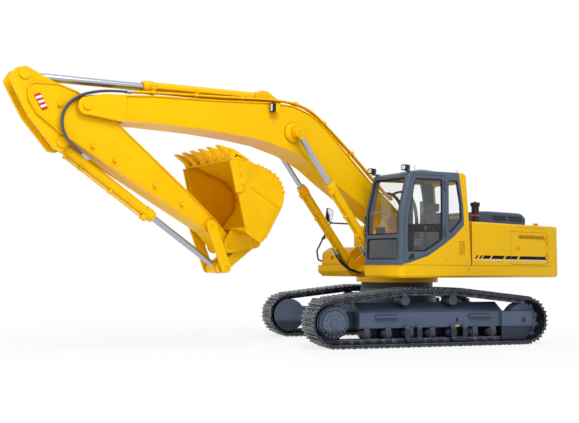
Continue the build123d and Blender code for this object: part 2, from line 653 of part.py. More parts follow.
# base of the hood: the middle of the house between the side bodies
MIDDLE_X = TANK_X[0] - MIN_GAP
with BuildPart() as middle_body:
    with BuildSketch(level(DECK_Z)):
        outline([
            (BODY_REAR_X, -HOOD_Y), (BODY_REAR_X, HOOD_Y), (MIDDLE_X, HOOD_Y), (MIDDLE_X, -HOOD_Y),
        ])
    extrude(amount=MIDDLE_Z - DECK_Z)
    with BuildSketch(level(DECK_Z)):
        outline([
            (BODY_REAR_X + 20, -HOOD_Y + 20), (BODY_REAR_X + 20, HOOD_Y - 20),
            (HOOD_X[1] - 20, HOOD_Y - 20), (HOOD_X[1] - 20, -HOOD_Y + 20),
        ])
    extrude(amount=HOOD_FOOT - DECK_Z, mode=Mode.SUBTRACT)
    for y in HOOD_HINGE_Y:
        for dy in (KNUCKLE_L + PLAY, -KNUCKLE_L - PLAY):
            with Locations((SWING_X + HOOD_HINGE[0], y + dy, HOOD_HINGE[1])):
                Cylinder(KNUCKLE_R, KNUCKLE_L, rotation=(90, 0, 0))
                Box(2 * KNUCKLE_R, KNUCKLE_L, KNUCKLE_R + 3, align=(Align.CENTER, Align.CENTER, Align.MAX))
        with Locations((SWING_X + HOOD_HINGE[0], y, HOOD_HINGE[1])):
            Cylinder(HINGE_PIN_R, 2 * KNUCKLE_L, rotation=(90, 0, 0))
keep(middle_body, "middle_body")

CLEANER = (-1260, 950)
with BuildPart() as precleaner:
    for r, z0, z1 in ((55, BODY_Z, 2340), (75, 2340, 2640), (94, 2640, 2713), (20, 2713, 2735)):
        with BuildSketch(level(z0)):
            with Locations(CLEANER):
                Circle(r)
        extrude(amount=z1 - z0)
    fillet(precleaner.edges().filter_by(GeomType.CIRCLE).filter_by_position(Axis.Z, 2712, 2714), 6)
keep(precleaner, "precleaner")

STACK = (-1350, -520)
STACK_R = (70, 58)
STACK_H = 500
with BuildPart() as exhaust:
    with BuildSketch(level(MIDDLE_Z)):
        with Locations(STACK):
            Circle(STACK_R[0])
            Circle(STACK_R[1], mode=Mode.SUBTRACT)
    extrude(amount=STACK_H)
keep(exhaust, "exhaust")

# ---------------------------------------------------------------- cab
CAB_TOP = 3190
CAB_EDGE_R = 35         # rounding where the sides meet the front, roof and back
cab_edge = [
    (1375, DECK_Z), (1350, 2380), (1140, 3100), (900, 3140), (-300, CAB_TOP), (-390, 3150),
    (HOUSE_X + 60, BODY_Z), (HOUSE_X + 10, DECK_Z),
]
cab_radii = (0, 600, 110, 200, 200, 60, 300, 0)
panel_line = [
    (1330, DECK_Z), (1300, 1466), (1152, 1490), (681, 1616), (278, 1815), (-47, 1998), (-310, 2200),
    (-290, 2560), (-150, 3300),
]
door_edge = [
    (1070, 3060), (DOOR_X, 3085), (DOOR_X, 1885), (681, 1648), (1152, 1520), (1290, 1505), (1275, 2400),
]
door_radii = (60, 40, 40, 200, 100, 40, 500)
window_side = [(1010, 2995), (285, 3025), (290, 1915), (745, 1692), (1210, 1680), (1195, 2250)]
window_radii = (70, 50, 60, 80, 50, 400)
quarter = [(125, 3010), (-130, 3030), (-225, 2600), (-250, 2290), (60, 2045), (130, 2065)]
QUARTER_R = 30
SCREEN_Z = ((1545, 1925), (1985, 3005))     # lower and upper pane
SCREEN_Y = (590, 1365)
REAR_PANE = (650, 1320, 2390, 2990)         # y, z
PANE_REACH = 500        # cuts of the front and rear windows
GLASS = 6
GLASS_IN = 20           # outside of the glass behind the wall's face
LOUVRES = 6
LOUVRE_AT = (-245, 1660)
LOUVRE_STEP = 46
LOUVRE = (170, 20)
LOUVRE_DEEP = 15
LAMP_SPOTS = ((1175, 1380), (1245, 600))    # roof lamps, x and y
LAMP_Z = 3125
LAMP_BOX = (110, 110, 90)
LAMP_REACH = 200        # stay back to the roof


def screens(gap):
    """Front and rear window openings, seen from the front, smaller by a gap all round."""
    for z0, z1 in SCREEN_Z:
        with Locations(((SCREEN_Y[0] + SCREEN_Y[1]) / 2, (z0 + z1) / 2)):
            RectangleRounded(SCREEN_Y[1] - SCREEN_Y[0] - 2 * gap, z1 - z0 - 2 * gap, 50)


def rear_screen(gap):
    y0, y1, z0, z1 = REAR_PANE
    with Locations(((y0 + y1) / 2, (z0 + z1) / 2)):
        RectangleRounded(y1 - y0 - 2 * gap, z1 - z0 - 2 * gap, 50)


with BuildPart() as cab_all:
    with BuildSketch(side(CAB_Y[1])):
        rounded(cab_edge, cab_radii)
    extrude(amount=CAB_Y[1] - CAB_Y[0])
    for y in CAB_Y:
        rim = cab_all.edges().filter_by_position(Axis.Y, y - 1, y + 1)
        fillet(rim.filter_by_position(Axis.Z, DECK_Z + 1, CAB_TOP + 1), CAB_EDGE_R)
    with BuildSketch(side(CAB_Y[1] - CAB_WALL)):
        rounded(cab_edge, cab_radii)
        offset(amount=-CAB_WALL, mode=Mode.REPLACE)
    extrude(amount=CAB_Y[1] - CAB_Y[0] - 2 * CAB_WALL, mode=Mode.SUBTRACT)
    # windscreen and rear window
    with BuildSketch(front(1000)):
        screens(0)
    extrude(amount=PANE_REACH, mode=Mode.SUBTRACT)
    with BuildSketch(front(-700)):
        rear_screen(0)
    extrude(amount=PANE_REACH, mode=Mode.SUBTRACT)
    # right-hand windows
    with BuildSketch(side(CAB_Y[0] + CAB_WALL)):
        rounded(window_side, window_radii)
        rounded(quarter, QUARTER_R)
    extrude(amount=CAB_WALL, mode=Mode.SUBTRACT)
    # door opening and quarter window on the left
    with BuildSketch(side(CAB_Y[1])):
        rounded(door_edge, door_radii)
        rounded(quarter, QUARTER_R)
    extrude(amount=CAB_WALL, mode=Mode.SUBTRACT)

with BuildPart() as front_region:
    with BuildSketch(side(CAB_Y[1] + 100)):
        outline(panel_line + [(2000, 3300), (2000, DECK_Z)])
    extrude(amount=CAB_Y[1] - CAB_Y[0] + 200)

with BuildPart() as cab_shell:
    add(cab_all.part)
    add(front_region.part, mode=Mode.INTERSECT)
    for z in DOOR_HINGE_Z:
        fixed_lugs(DOOR_X + GAP / 2, CAB_Y[1] + HINGE_OUT, z, CAB_Y[1])
    # roof lamps and roof hatch
    for x, y in LAMP_SPOTS:
        with Locations((SWING_X + x, y, LAMP_Z)):
            Box(*LAMP_BOX, align=FROM_BASE)
            Box(2 * LAMP_REACH, 24, 30, align=(Align.CENTER, Align.CENTER, Align.MAX))
        with Locations((SWING_X + x, y, LAMP_Z)):
            Box(LAMP_REACH + 10, 30, 40, align=(Align.MIN, Align.CENTER, Align.MAX), mode=Mode.SUBTRACT)
    with BuildSketch(level(3120)):
        with Locations((350, (CAB_Y[0] + CAB_Y[1]) / 2)):
            RectangleRounded(620, 560, 60)
    extrude(amount=CAB_TOP - 3120)
keep(cab_shell, "cab_shell")

with BuildPart() as cab_rear:
    add(cab_all.part)
    add(front_region.part, mode=Mode.SUBTRACT)
    # louvres low on the left wall
    with BuildSketch(side(CAB_Y[1])):
        for i in range(LOUVRES):
            with Locations((LOUVRE_AT[0], LOUVRE_AT[1] + LOUVRE_STEP * i)):
                SlotOverall(*LOUVRE)
    extrude(amount=LOUVRE_DEEP, mode=Mode.SUBTRACT)
keep(cab_rear, "cab_rear")

with BuildPart() as cab_door:
    with BuildSketch(side(CAB_Y[1])):
        rounded(door_edge, door_radii)
        offset(amount=-GAP, mode=Mode.REPLACE)
        rounded(window_side, window_radii, Mode.SUBTRACT)
    extrude(amount=CAB_WALL)
    for z in DOOR_HINGE_Z:
        moving_ring(DOOR_X + GAP / 2, CAB_Y[1] + HINGE_OUT, z, CAB_Y[1])
keep(cab_door, "cab_door")

with BuildPart() as door_glass:
    with BuildSketch(side(CAB_Y[1] - GLASS_IN)):
        rounded(window_side, window_radii)
        offset(amount=-PLAY, mode=Mode.REPLACE)
    extrude(amount=GLASS)
keep(door_glass, "door_glass")

with BuildPart() as cab_glass:
    with BuildSketch(side(CAB_Y[1] - GLASS_IN)):
        rounded(quarter, QUARTER_R)
        offset(amount=-PLAY, mode=Mode.REPLACE)
    extrude(amount=GLASS)
    with BuildSketch(side(CAB_Y[0] + GLASS_IN + GLASS)):
        rounded(window_side, window_radii)
        rounded(quarter, QUARTER_R)
        offset(amount=-PLAY, mode=Mode.REPLACE)
    extrude(amount=GLASS)
    # front panes and rear pane follow the cab's outline
    for x, panes in ((1000, screens), (-700, rear_screen)):
        with BuildPart(mode=Mode.PRIVATE) as pane:
            with BuildSketch(side(CAB_Y[1])):
                for depth, mode in ((GLASS_IN, Mode.ADD), (GLASS_IN + GLASS, Mode.SUBTRACT)):
                    with BuildSketch(mode=Mode.PRIVATE) as skin:
                        rounded(cab_edge, cab_radii)
                        offset(amount=-depth, mode=Mode.REPLACE)
                    add(skin.sketch, mode=mode)
            extrude(amount=CAB_Y[1] - CAB_Y[0])
            with BuildSketch(front(x)):
                panes(PLAY)
            extrude(amount=PANE_REACH, mode=Mode.INTERSECT)
        add(pane.part)
keep(cab_glass, "cab_glass")

CAB_MID = (CAB_Y[0] + CAB_Y[1]) / 2
SEAT_W = 500
SEAT_POST_W = 200
CONSOLE_W = 90
CONSOLE_Y = 330         # consoles either side of the seat's middle
with BuildPart() as operator_seat:
    with BuildSketch(side(CAB_MID + SEAT_POST_W / 2)):
        outline([(150, DECK_Z + CAB_WALL), (420, DECK_Z + CAB_WALL), (420, 1800), (150, 1800)])
    extrude(amount=SEAT_POST_W)
    with BuildSketch(side(CAB_MID + SEAT_W / 2)):
        rounded(
            [(20, 1800), (560, 1800), (575, 1940), (180, 1930), (90, 2620), (-20, 2620), (30, 1930)],
            (30, 30, 50, 40, 40, 40, 0),
        )
    extrude(amount=SEAT_W)
keep(operator_seat, "operator_seat")

with BuildPart() as console:
    for sy in (1, -1):
        with BuildSketch(side(CAB_MID + sy * CONSOLE_Y + CONSOLE_W / 2)):
            rounded(
                [
                    (100, DECK_Z + CAB_WALL), (380, DECK_Z + CAB_WALL), (600, 1950),
                    (640, 2080), (560, 2090), (100, 2080),
                ],
                (0, 0, 60, 20, 20, 30),
            )
        extrude(amount=CONSOLE_W)
keep(console, "console")

# ---------------------------------------------------------------- right side: tank, tool box, rails
TANK_Y = (CAB_Y[0] + 40, BODY_Y - 10)
BOX_Y = BODY_Y - 50
BOX_X = (TANK_X[1] + MIN_GAP, 759)
BOX_TOP = 1812
TANK_TOP = 2298
FILLER = (TANK_X[0] + 420, 260 - BODY_Y)
FILLER_R = 60
FILLER_H = 35
POCKET = (-1080, 1600)
POCKET_SIZE = (70, 70, 12)
POCKET_DEEP = 40
with BuildPart() as fuel_tank:
    with BuildSketch(side(-TANK_Y[0])):
        rounded(
            [(TANK_X[0], DECK_Z), (TANK_X[0], TANK_TOP), (TANK_X[1], TANK_TOP), (TANK_X[1], DECK_Z)],
            (0, 0, 50, 0),
        )
    extrude(amount=TANK_Y[1] - TANK_Y[0])
    # filler cap
    with BuildSketch(level(TANK_TOP)):
        with Locations(FILLER):
            Circle(FILLER_R)
    extrude(amount=FILLER_H)
keep(fuel_tank, "fuel_tank")

with BuildPart() as tool_box:
    with BuildSketch(side(-TANK_Y[0])):
        rounded(
            [
                (BOX_X[0], DECK_Z), (BOX_X[0], BOX_TOP), (560, BOX_TOP), (BOX_X[1] - 10, 1700),
                (BOX_X[1], DECK_Z),
            ],
            (0, 0, 120, 90, 0),
        )
    extrude(amount=BOX_Y - TANK_Y[0])
    # lock pocket in the front
    with BuildSketch(front(BOX_X[1] - POCKET_DEEP)):
        with Locations(POCKET):
            RectangleRounded(*POCKET_SIZE)
    extrude(amount=2 * POCKET_DEEP, mode=Mode.SUBTRACT)
keep(tool_box, "tool_box")

RAIL_Y = -BODY_Y + 25
RAIL_R = 17
RAIL_PATH = (
    (650, DECK_Z), (650, 1510), (840, 1560), (880, 1741), (641, 2120), (515, TANK_TOP + 40),
    (-313, TANK_TOP + 40), (-313, TANK_TOP),
)
with BuildPart() as handrails:
    with BuildLine(side(RAIL_Y)) as rail:
        FilletPolyline(*RAIL_PATH, radius=(30, 60, 100, 60, 80, 20))
    with BuildSketch(Plane(origin=rail.line @ 0, z_dir=rail.line % 0)):
        Circle(RAIL_R)
    sweep()
keep(handrails, "handrails")

MIRROR = [(652, 2653), (486, 2594), (541, 2331), (695, 2387)]
MIRROR_Y = RAIL_Y + 60
MIRROR_T = 30
STAY_R = 11
with BuildPart() as mirror:
    with BuildSketch(side(MIRROR_Y + MIRROR_T / 2)):
        rounded(MIRROR, 25)
    extrude(amount=MIRROR_T)
    # stay, clamped round the rail
    rise = (RAIL_PATH[4][0] - RAIL_PATH[3][0], RAIL_PATH[4][1] - RAIL_PATH[3][1])
    clamp = (RAIL_PATH[4][0] - rise[0] * 0.3, RAIL_PATH[4][1] - rise[1] * 0.3)
    with Locations(Plane(
        origin=(SWING_X + clamp[0], RAIL_Y, clamp[1]), x_dir=(0, 1, 0), z_dir=(rise[0], 0, rise[1]),
    )):
        Cylinder(RAIL_R + 10, 40)
        Box(MIRROR_Y - RAIL_Y + 8, 16, 30, align=(Align.MIN, Align.CENTER, Align.CENTER))
        Cylinder(RAIL_R + PLAY, 40, mode=Mode.SUBTRACT)
    with BuildLine(side(MIRROR_Y)) as stay:
        Line(clamp, (615, 2375))
    with BuildSketch(Plane(origin=stay.line @ 0, z_dir=stay.line % 0)):
        Circle(STAY_R)
    sweep()
keep(mirror, "mirror")

# ---------------------------------------------------------------- boom
BOOM_TOP = [
    (190, 2470), (956, 3012), (1421, 3390), (1760, 3665), (2020, 3875), (2400, 4125), (2826, 4238),
    (3366, 4222), (4365, 4122), (5510, 4032), (6040, 3965),
]
BOOM_BOTTOM = [
    (6040, 3560), (5660, 3590), (4670, 3600), (3900, 3572), (3373, 3527), (2790, 3400), (2320, 3212),
    (1900, 2950), (1470, 2705), (1100, 2515), (610, 2260),
]
BEND_R = 700            # rounding of the knee's corners
FLANGE = 20
FOOT_R = 150
TIP_R = 130
FORK_Y = (ARM_W / 2 + 15, BOOM_W / 2)
BOSS_R = (175, 125)     # coned boss of the boom cylinders' pin, root and end
BOSS_H = BOOM_CYL_Y - BOOM_CYL_EYE / 2 - BOOM_W / 2 - GAP
EAR_SIDE = (100, 150)   # arm-cylinder ears, either side of the boom's middle
LAMP = (3285, 4125)
LAMP_SIZE = (150, 150, 25)
LAMP_FOOT = 60          # arm between the lamp and the boom
LAMP_Y = (BOOM_W / 2 + 25, BOOM_W / 2 + 105)

boom_edge = BOOM_TOP + BOOM_BOTTOM
boom_radii = [0, *[BEND_R] * (len(BOOM_TOP) - 2), 0, 0, *[BEND_R] * (len(BOOM_BOTTOM) - 2), 0]
with BuildPart() as boom:
    with BuildSketch(side(BOOM_W / 2 - FLANGE)):
        rounded(boom_edge, boom_radii)
        outline([
            (FOOT[0] - 60, FOOT[1] + 100), BOOM_TOP[0], BOOM_BOTTOM[-1], (FOOT[0] + 90, FOOT[1] - 110),
        ])
        with Locations(FOOT):
            Circle(FOOT_R)
    extrude(amount=BOOM_W - 2 * FLANGE)
    with BuildSketch(side(BOOM_W / 2)):
        rounded(boom_edge, boom_radii)
        with BuildSketch(mode=Mode.PRIVATE) as web:
            rounded(boom_edge, boom_radii)
            offset(amount=-FLANGE, mode=Mode.REPLACE)
        add(web.sketch, mode=Mode.SUBTRACT)
    extrude(amount=BOOM_W)
    with BuildSketch(side(BOOM_W / 2)):
        with Locations(FOOT):
            Circle(FOOT_R)
    extrude(amount=BOOM_W)
    # fork for the arm
    for y in (FORK_Y[1], -FORK_Y[0]):
        with BuildSketch(side(y)):
            rounded(
                [(6030, 3560), (6030, 3965), (6390, 3930), (6700, 3835), (6680, 3600), (6150, 3560)],
                (0, 0, 150, 60, 60, 0),
            )
            with Locations(BOOM_TIP):
                Circle(TIP_R)
            with Locations(BOOM_TIP):
                Circle(PIN_R + PLAY, mode=Mode.SUBTRACT)
        extrude(amount=FORK_Y[1] - FORK_Y[0])
    # foot bore
    with BuildSketch(side(BOOM_W)):
        with Locations(FOOT):
            Circle(PIN_R + PLAY)
    extrude(amount=2 * BOOM_W, mode=Mode.SUBTRACT)
    # bosses of the boom cylinders' pin
    for hand in (1, -1):
        with Locations(Plane(
            origin=(SWING_X + BOOM_CYL[1][0], hand * BOOM_W / 2, BOOM_CYL[1][1]), z_dir=(0, hand, 0),
        )):
            Cone(BOSS_R[0], BOSS_R[1], BOSS_H, align=FROM_BASE)
    # ears of the arm cylinder on the top plate
    for y in (EAR_SIDE[1], -EAR_SIDE[0]):
        with BuildSketch(side(y)):
            rounded(
                [(2960, 4200), (3052, 4305), (3300, 4440), (3455, 4440), (3545, 4360), (3560, 4170)],
                (0, 100, 60, 60, 40, 0),
            )
        extrude(amount=EAR_SIDE[1] - EAR_SIDE[0])
    with BuildSketch(side(EAR_SIDE[1] + EAR_PIN_OUT)):
        with Locations(ARM_CYL[0]):
            Circle(PIN_R - 10)
    extrude(amount=2 * (EAR_SIDE[1] + EAR_PIN_OUT))
    # work lamp on the left side
    with BuildSketch(side(LAMP_Y[1])):
        with Locations(LAMP):
            RectangleRounded(*LAMP_SIZE)
    extrude(amount=LAMP_Y[1] - LAMP_Y[0])
    with BuildSketch(side(LAMP_Y[0])):
        with Locations((LAMP[0] - LAMP_FOOT / 2, LAMP[1] - 20)):
            Rectangle(LAMP_FOOT, LAMP_FOOT)
    extrude(amount=LAMP_Y[0] - BOOM_W / 2 + FLANGE)
keep(boom, "boom")

# ---------------------------------------------------------------- arm
# Rim from the head round the top to the foot and back along the bottom, with its corner radii.
ARM_RIM = (
    (7395, 3975, 60), (7035, 4003, 120), (6750, 3930, 150), (6110, 3540, 0), (4950, 2640, 0),
    (4320, 2120, 0), (4530, 1980, 0), (5910, 2710, 0), (6984, 3285, 0), (7338, 3531, 60), (7465, 3720, 80),
    (7480, 3890, 60),
)
CORE_X = 7150           # the box between the cheeks ends here, clear of the rod's eye
CORE_LOW = [(4530, 1980), (5910, 2710), (7000, 3350), (CORE_X, 3540), (CORE_X, 2500)]
FOOT_NOSE = [(4320, 2120), (4000, 1800), (4180, 1630), (4530, 1980)]
PIVOT_R = 125           # bosses at the bucket pin
WEB_IN = 15             # side plates below the rim
CHEEK_T = 35
HEAD_Y = (110, ARM_W / 2 - CHEEK_T)
CAP_R = 80
CAP_T = 20
ARM_EYE = (30, 25)      # radius and height of the weld-on bosses
ARM_EYES = ((7012, 3704), (6498, 3150), (6147, 2975), (5476, 2640), (5003, 2385))
rim_points = [(x, z) for x, z, _ in ARM_RIM]
rim_radii = [r for _, _, r in ARM_RIM]
with BuildPart() as arm:
    with BuildSketch(side(ARM_W / 2 - WEB_IN)):
        rounded(rim_points, rim_radii)
        outline([(CORE_X, 2500), (CORE_X, 4500), (ARM_HEAD_X, 4500), (ARM_HEAD_X, 2500)], Mode.SUBTRACT)
        outline(CORE_LOW, Mode.SUBTRACT)
        outline(FOOT_NOSE)
        with Locations(BUCKET_PIN):
            Circle(PIVOT_R)
    extrude(amount=ARM_W - 2 * WEB_IN)
    for y in (ARM_W / 2, CHEEK_T - ARM_W / 2):
        with BuildSketch(side(y)):
            rounded(rim_points, rim_radii)
        extrude(amount=CHEEK_T)
    for y in (ARM_W / 2, WEB_IN - ARM_W / 2):
        with BuildSketch(side(y)):
            rounded(rim_points, rim_radii)
            offset(amount=-FLANGE, mode=Mode.REPLACE)
        extrude(amount=WEB_IN, mode=Mode.SUBTRACT)
    # bosses of the boom pin, the bucket pin and the rocker pin
    with BuildSketch(side(ARM_W / 2)):
        for spot, r in ((BOOM_TIP, TIP_R), (BUCKET_PIN, PIVOT_R), (ROCKER_PIN, 100)):
            with Locations(spot):
                Circle(r)
    extrude(amount=ARM_W)
    # rear plates carrying the arm cylinder's rod and the bucket cylinder
    for y in (HEAD_Y[1], -HEAD_Y[0]):
        with BuildSketch(side(y)):
            rounded(
                [
                    (7000, 3990), (7500, 4190), (7640, 4140), (ARM_HEAD_X, 3990), (7590, 3750),
                    (7440, 3490), (7053, 3050), (6940, 3040), (6850, 3110), (6880, 3280),
                ],
                (0, 60, 70, 40, 100, 100, 60, 60, 50, 0),
            )
        extrude(amount=HEAD_Y[1] - HEAD_Y[0])
    # boom pin through the fork
    with BuildSketch(side(FORK_Y[1] + PIN_OUT)):
        with Locations(BOOM_TIP):
            Circle(PIN_R)
    extrude(amount=2 * (FORK_Y[1] + PIN_OUT))
    # pin of the bucket cylinder's base, and the caps of the head's two pins
    with BuildSketch(side(HEAD_Y[1] + CAP_T)):
        with Locations(BUCKET_CYL[0]):
            Circle(PIN_R - 10)
    extrude(amount=2 * (HEAD_Y[1] + CAP_T))
    for y in (HEAD_Y[1] + CAP_T, -HEAD_Y[1]):
        with BuildSketch(side(y)):
            with Locations(ARM_CYL[1], BUCKET_CYL[0]):
                Circle(CAP_R)
        extrude(amount=CAP_T)
    # weld-on bosses along the left side
    with BuildSketch(side(ARM_W / 2 + ARM_EYE[1])):
        for x, z in ARM_EYES:
            with Locations((x, z)):
                Circle(ARM_EYE[0])
    extrude(amount=ARM_EYE[1] + WEB_IN)
    # bores for the bucket and rocker pins
    with BuildSketch(side(ARM_W)):
        for spot in (BUCKET_PIN, ROCKER_PIN):
            with Locations(spot):
                Circle(PIN_R - 10 + PLAY)
    extrude(amount=2 * ARM_W, mode=Mode.SUBTRACT)
keep(arm, "arm")

# ---------------------------------------------------------------- cylinders
BORE_FROM = 220         # closed end of each barrel's bore, from the base pin
GLAND_OUT = 12          # gland collar over the barrel
GLAND_L = 170
# name, pins, barrel length from the base pin, outer, rod and eye radius, eye width,
# travel left to close from this pose, centre lines
CYLINDERS = (
    ("boom_cylinder", BOOM_CYL, 1890, 84, 50, 92, BOOM_CYL_EYE, 830, (BOOM_CYL_Y, -BOOM_CYL_Y)),
    ("arm_cylinder", ARM_CYL, 2240, 95, 60, 98, 190, 1570, (0,)),
    ("bucket_cylinder", BUCKET_CYL, 1850, 85, 50, 92, 150, 1050, (0,)),
)
for name, (base, eye), barrel_l, barrel_r, rod_r, eye_r, eye_w, closing, lines in CYLINDERS:
    length = span(base, eye)
    with BuildPart(*(along(base, eye, y) for y in lines)) as barrel:
        with Locations((0, 0, 120)):
            Cylinder(barrel_r, barrel_l - 120, align=FROM_BASE)
        with Locations((0, 0, barrel_l - GLAND_L)):
            Cylinder(barrel_r + GLAND_OUT, GLAND_L - 50, align=FROM_BASE)
        with Locations((0, 0, barrel_l - 50)):
            Cone(barrel_r + GLAND_OUT, barrel_r - 12, 50, align=FROM_BASE)
        Cylinder(eye_r, eye_w, rotation=(90, 0, 0))
        Box(2 * barrel_r - 20, eye_w, 130, align=FROM_BASE)
        bore = (PIN_R - 5 if name == "boom_cylinder" else PIN_R - 10) + PLAY
        Cylinder(bore, 2 * eye_w, rotation=(90, 0, 0), mode=Mode.SUBTRACT)
        with Locations((0, 0, BORE_FROM)):
            Cylinder(rod_r + PLAY, barrel_l, align=FROM_BASE, mode=Mode.SUBTRACT)
    keep(barrel, f"{name}_barrel")
    with BuildPart(*(along(base, eye, y) for y in lines)) as rod:
        with Locations((0, 0, BORE_FROM + closing)):
            Cylinder(rod_r, length - BORE_FROM - closing, align=FROM_BASE)
        with Locations((0, 0, length)):
            Cylinder(eye_r, eye_w, rotation=(90, 0, 0))
            if name == "boom_cylinder":
                Cylinder(PIN_R, 2 * (BOOM_CYL_Y - BOOM_W / 2 - BOSS_H - PLAY), rotation=(90, 0, 0))
    keep(rod, f"{name}_rod")

# ---------------------------------------------------------------- bucket linkage
EAR_Y = (ARM_W / 2 + 5, ARM_W / 2 + 55)     # bucket ears outside the arm
ROCKER_Y = (EAR_Y[1] + 7, EAR_Y[1] + 47)    # rocker bars outside the ears
LINK_Y = (90, ARM_W / 2 - 10)               # link bars inside the ears
BAR_R = 85              # ends of the rocker and the link
LINK_EAR_R = 105
with BuildPart() as rocker:
    for y in (ROCKER_Y[1], -ROCKER_Y[0]):
        with BuildSketch(side(y)):
            with BuildSketch(mode=Mode.PRIVATE) as bar:
                with Locations(ROCKER_PIN):
                    Circle(BAR_R)
                with Locations(ROD_PIN):
                    Circle(BAR_R)
                make_hull()
            add(bar.sketch)
        extrude(amount=ROCKER_Y[1] - ROCKER_Y[0])
    with BuildSketch(side(ROCKER_Y[0])):
        with Locations(ROCKER_PIN):
            Circle(PIN_R - 10)
    extrude(amount=2 * ROCKER_Y[0])
keep(rocker, "bucket_rocker")

with BuildPart() as link:
    for y in (LINK_Y[1], -LINK_Y[0]):
        with BuildSketch(side(y)):
            with BuildSketch(mode=Mode.PRIVATE) as bar:
                with Locations(ROD_PIN):
                    Circle(BAR_R)
                with Locations(LINK_PIN):
                    Circle(BAR_R)
                make_hull()
            add(bar.sketch)
        extrude(amount=LINK_Y[1] - LINK_Y[0])
    with BuildSketch(side(LINK_Y[1])):
        with Locations(LINK_PIN):
            Circle(BAR_R)
    extrude(amount=2 * LINK_Y[1])
    with BuildSketch(side(EAR_Y[1] + EAR_PIN_OUT)):
        with Locations(LINK_PIN):
            Circle(PIN_R - 10)
    extrude(amount=2 * (EAR_Y[1] + EAR_PIN_OUT))
keep(link, "bucket_link")

# ---------------------------------------------------------------- bucket
# Shell between the side plates, from the lip round the back to the ears.
SHELL_EDGE = [
    (4410, 3092), (4330, 3185), (4090, 3090), (3850, 3012), (3600, 2925), (3440, 2800), (3362, 2600),
    (3400, 2400), (3720, 1990), (3860, 1960), (4080, 2010),
]
SHELL_R = (0, 0, 200, 200, 250, 250, 250, 200, 60, 60, 0)
MOUTH = [(4371, 3100), (4440, 3060), (4600, 3000), (4300, 1900), (4065, 2040), (4000, 2080), (4300, 3000)]
# Side plate and its strengthening strip.
CHEEK_EDGE = [
    (4420, 3105), (4300, 3150), (4120, 3105), (3843, 3020), (3601, 2940), (3450, 2820), (3350, 2600),
    (3400, 2400), (3715, 1880), (3830, 1785), (4106, 1936), (4190, 2250),
]
CHEEK_R = (0, 40, 100, 200, 250, 250, 250, 150, 60, 40, 40, 0)
CUTTER = [(4457, 3075), (4330, 2568), (4223, 2582), (4167, 2659), (4055, 3092)]
CUTTER_T = 25
STRIP = [(3812, 1830), (3490, 2380), (3452, 2360), (3740, 1870), (3812, 1800)]
WELD = [(4037, 2690), (4037, 2664), (3452, 2357), (3452, 2383)]
WEAR_BLOCK = (50, 44)
TOOTH = [(4655, 3302), (4395, 3262), (4330, 3215), (4400, 3092), (4463, 3160), (4652, 3286)]
TOOTH_W = 96
ADAPTER = [(4430, 3250), (4375, 3262), (4080, 3122), (4080, 3092), (4330, 3182), (4395, 3086), (4440, 3130)]
ADAPTER_W = 126
TOOTH_Y = BUCKET_W / 2 - 65     # outermost teeth from the middle
# Wear blocks round the back of each side: x, z, turn in degrees.
WEAR_SPOTS = (
    (3885, 3033, 17), (3805, 3008, 18), (3730, 2983, 18), (3655, 2958, 18), (3560, 2908, 38),
    (3495, 2857, 38), (3435, 2786, 65), (3402, 2713, 65), (3371, 2640, 66),
)
with BuildPart() as bucket:
    with BuildSketch(side(BUCKET_W / 2 - PLATE)):
        rounded(SHELL_EDGE, SHELL_R)
        with BuildSketch(mode=Mode.PRIVATE) as room:
            rounded(SHELL_EDGE, SHELL_R)
            offset(amount=-PLATE, mode=Mode.REPLACE)
        add(room.sketch, mode=Mode.SUBTRACT)
        outline(MOUTH, Mode.SUBTRACT)
    extrude(amount=BUCKET_W - 2 * PLATE)
    for y in (BUCKET_W / 2, PLATE - BUCKET_W / 2):
        with BuildSketch(side(y)):
            rounded(CHEEK_EDGE, CHEEK_R)
        extrude(amount=PLATE)
    for hand in (1, -1):
        face_y = BUCKET_W / 2
        for shape, out in ((CUTTER, CUTTER_T), (STRIP, 12), (WELD, 8)):
            with BuildSketch(side(max(hand * face_y, hand * (face_y + out)))):
                outline(shape)
            extrude(amount=out)
        with BuildSketch(side(max(hand * (face_y - PLATE), hand * (face_y + 4)))):
            for x, z, turn in WEAR_SPOTS:
                with Locations(Location((x, z), turn)):
                    RectangleRounded(*WEAR_BLOCK, 8)
        extrude(amount=PLATE + 4)
    # teeth on their adapters
    for i in range(TEETH):
        y = TOOTH_Y * (2 * i / (TEETH - 1) - 1)
        for shape, width in ((TOOTH, TOOTH_W), (ADAPTER, ADAPTER_W)):
            with BuildSketch(side(y + width / 2)):
                outline(shape)
            extrude(amount=width)
    # ears of the two pins
    for y in (EAR_Y[1], -EAR_Y[0]):
        with BuildSketch(side(y)):
            with BuildSketch(mode=Mode.PRIVATE) as ear:
                with Locations(BUCKET_PIN):
                    Circle(PIVOT_R)
                with Locations(LINK_PIN):
                    Circle(LINK_EAR_R)
                make_hull()
            add(ear.sketch)
            outline([(3560, 1900), (3440, 2300), (3720, 1990), (3860, 1960), (4080, 2010), (4210, 1830)])
            for spot in (BUCKET_PIN, LINK_PIN):
                with Locations(spot):
                    Circle(PIN_R - 10 + PLAY, mode=Mode.SUBTRACT)
        extrude(amount=EAR_Y[1] - EAR_Y[0])
keep(bucket, "bucket")

with BuildPart() as bucket_pin:
    with BuildSketch(side(EAR_Y[1] + EAR_PIN_OUT)):
        with Locations(BUCKET_PIN):
            Circle(PIN_R - 10)
    extrude(amount=2 * (EAR_Y[1] + EAR_PIN_OUT))
keep(bucket_pin, "bucket_pin")
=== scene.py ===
import json
import math
import bmesh
import bpy
from mathutils import Matrix, Vector


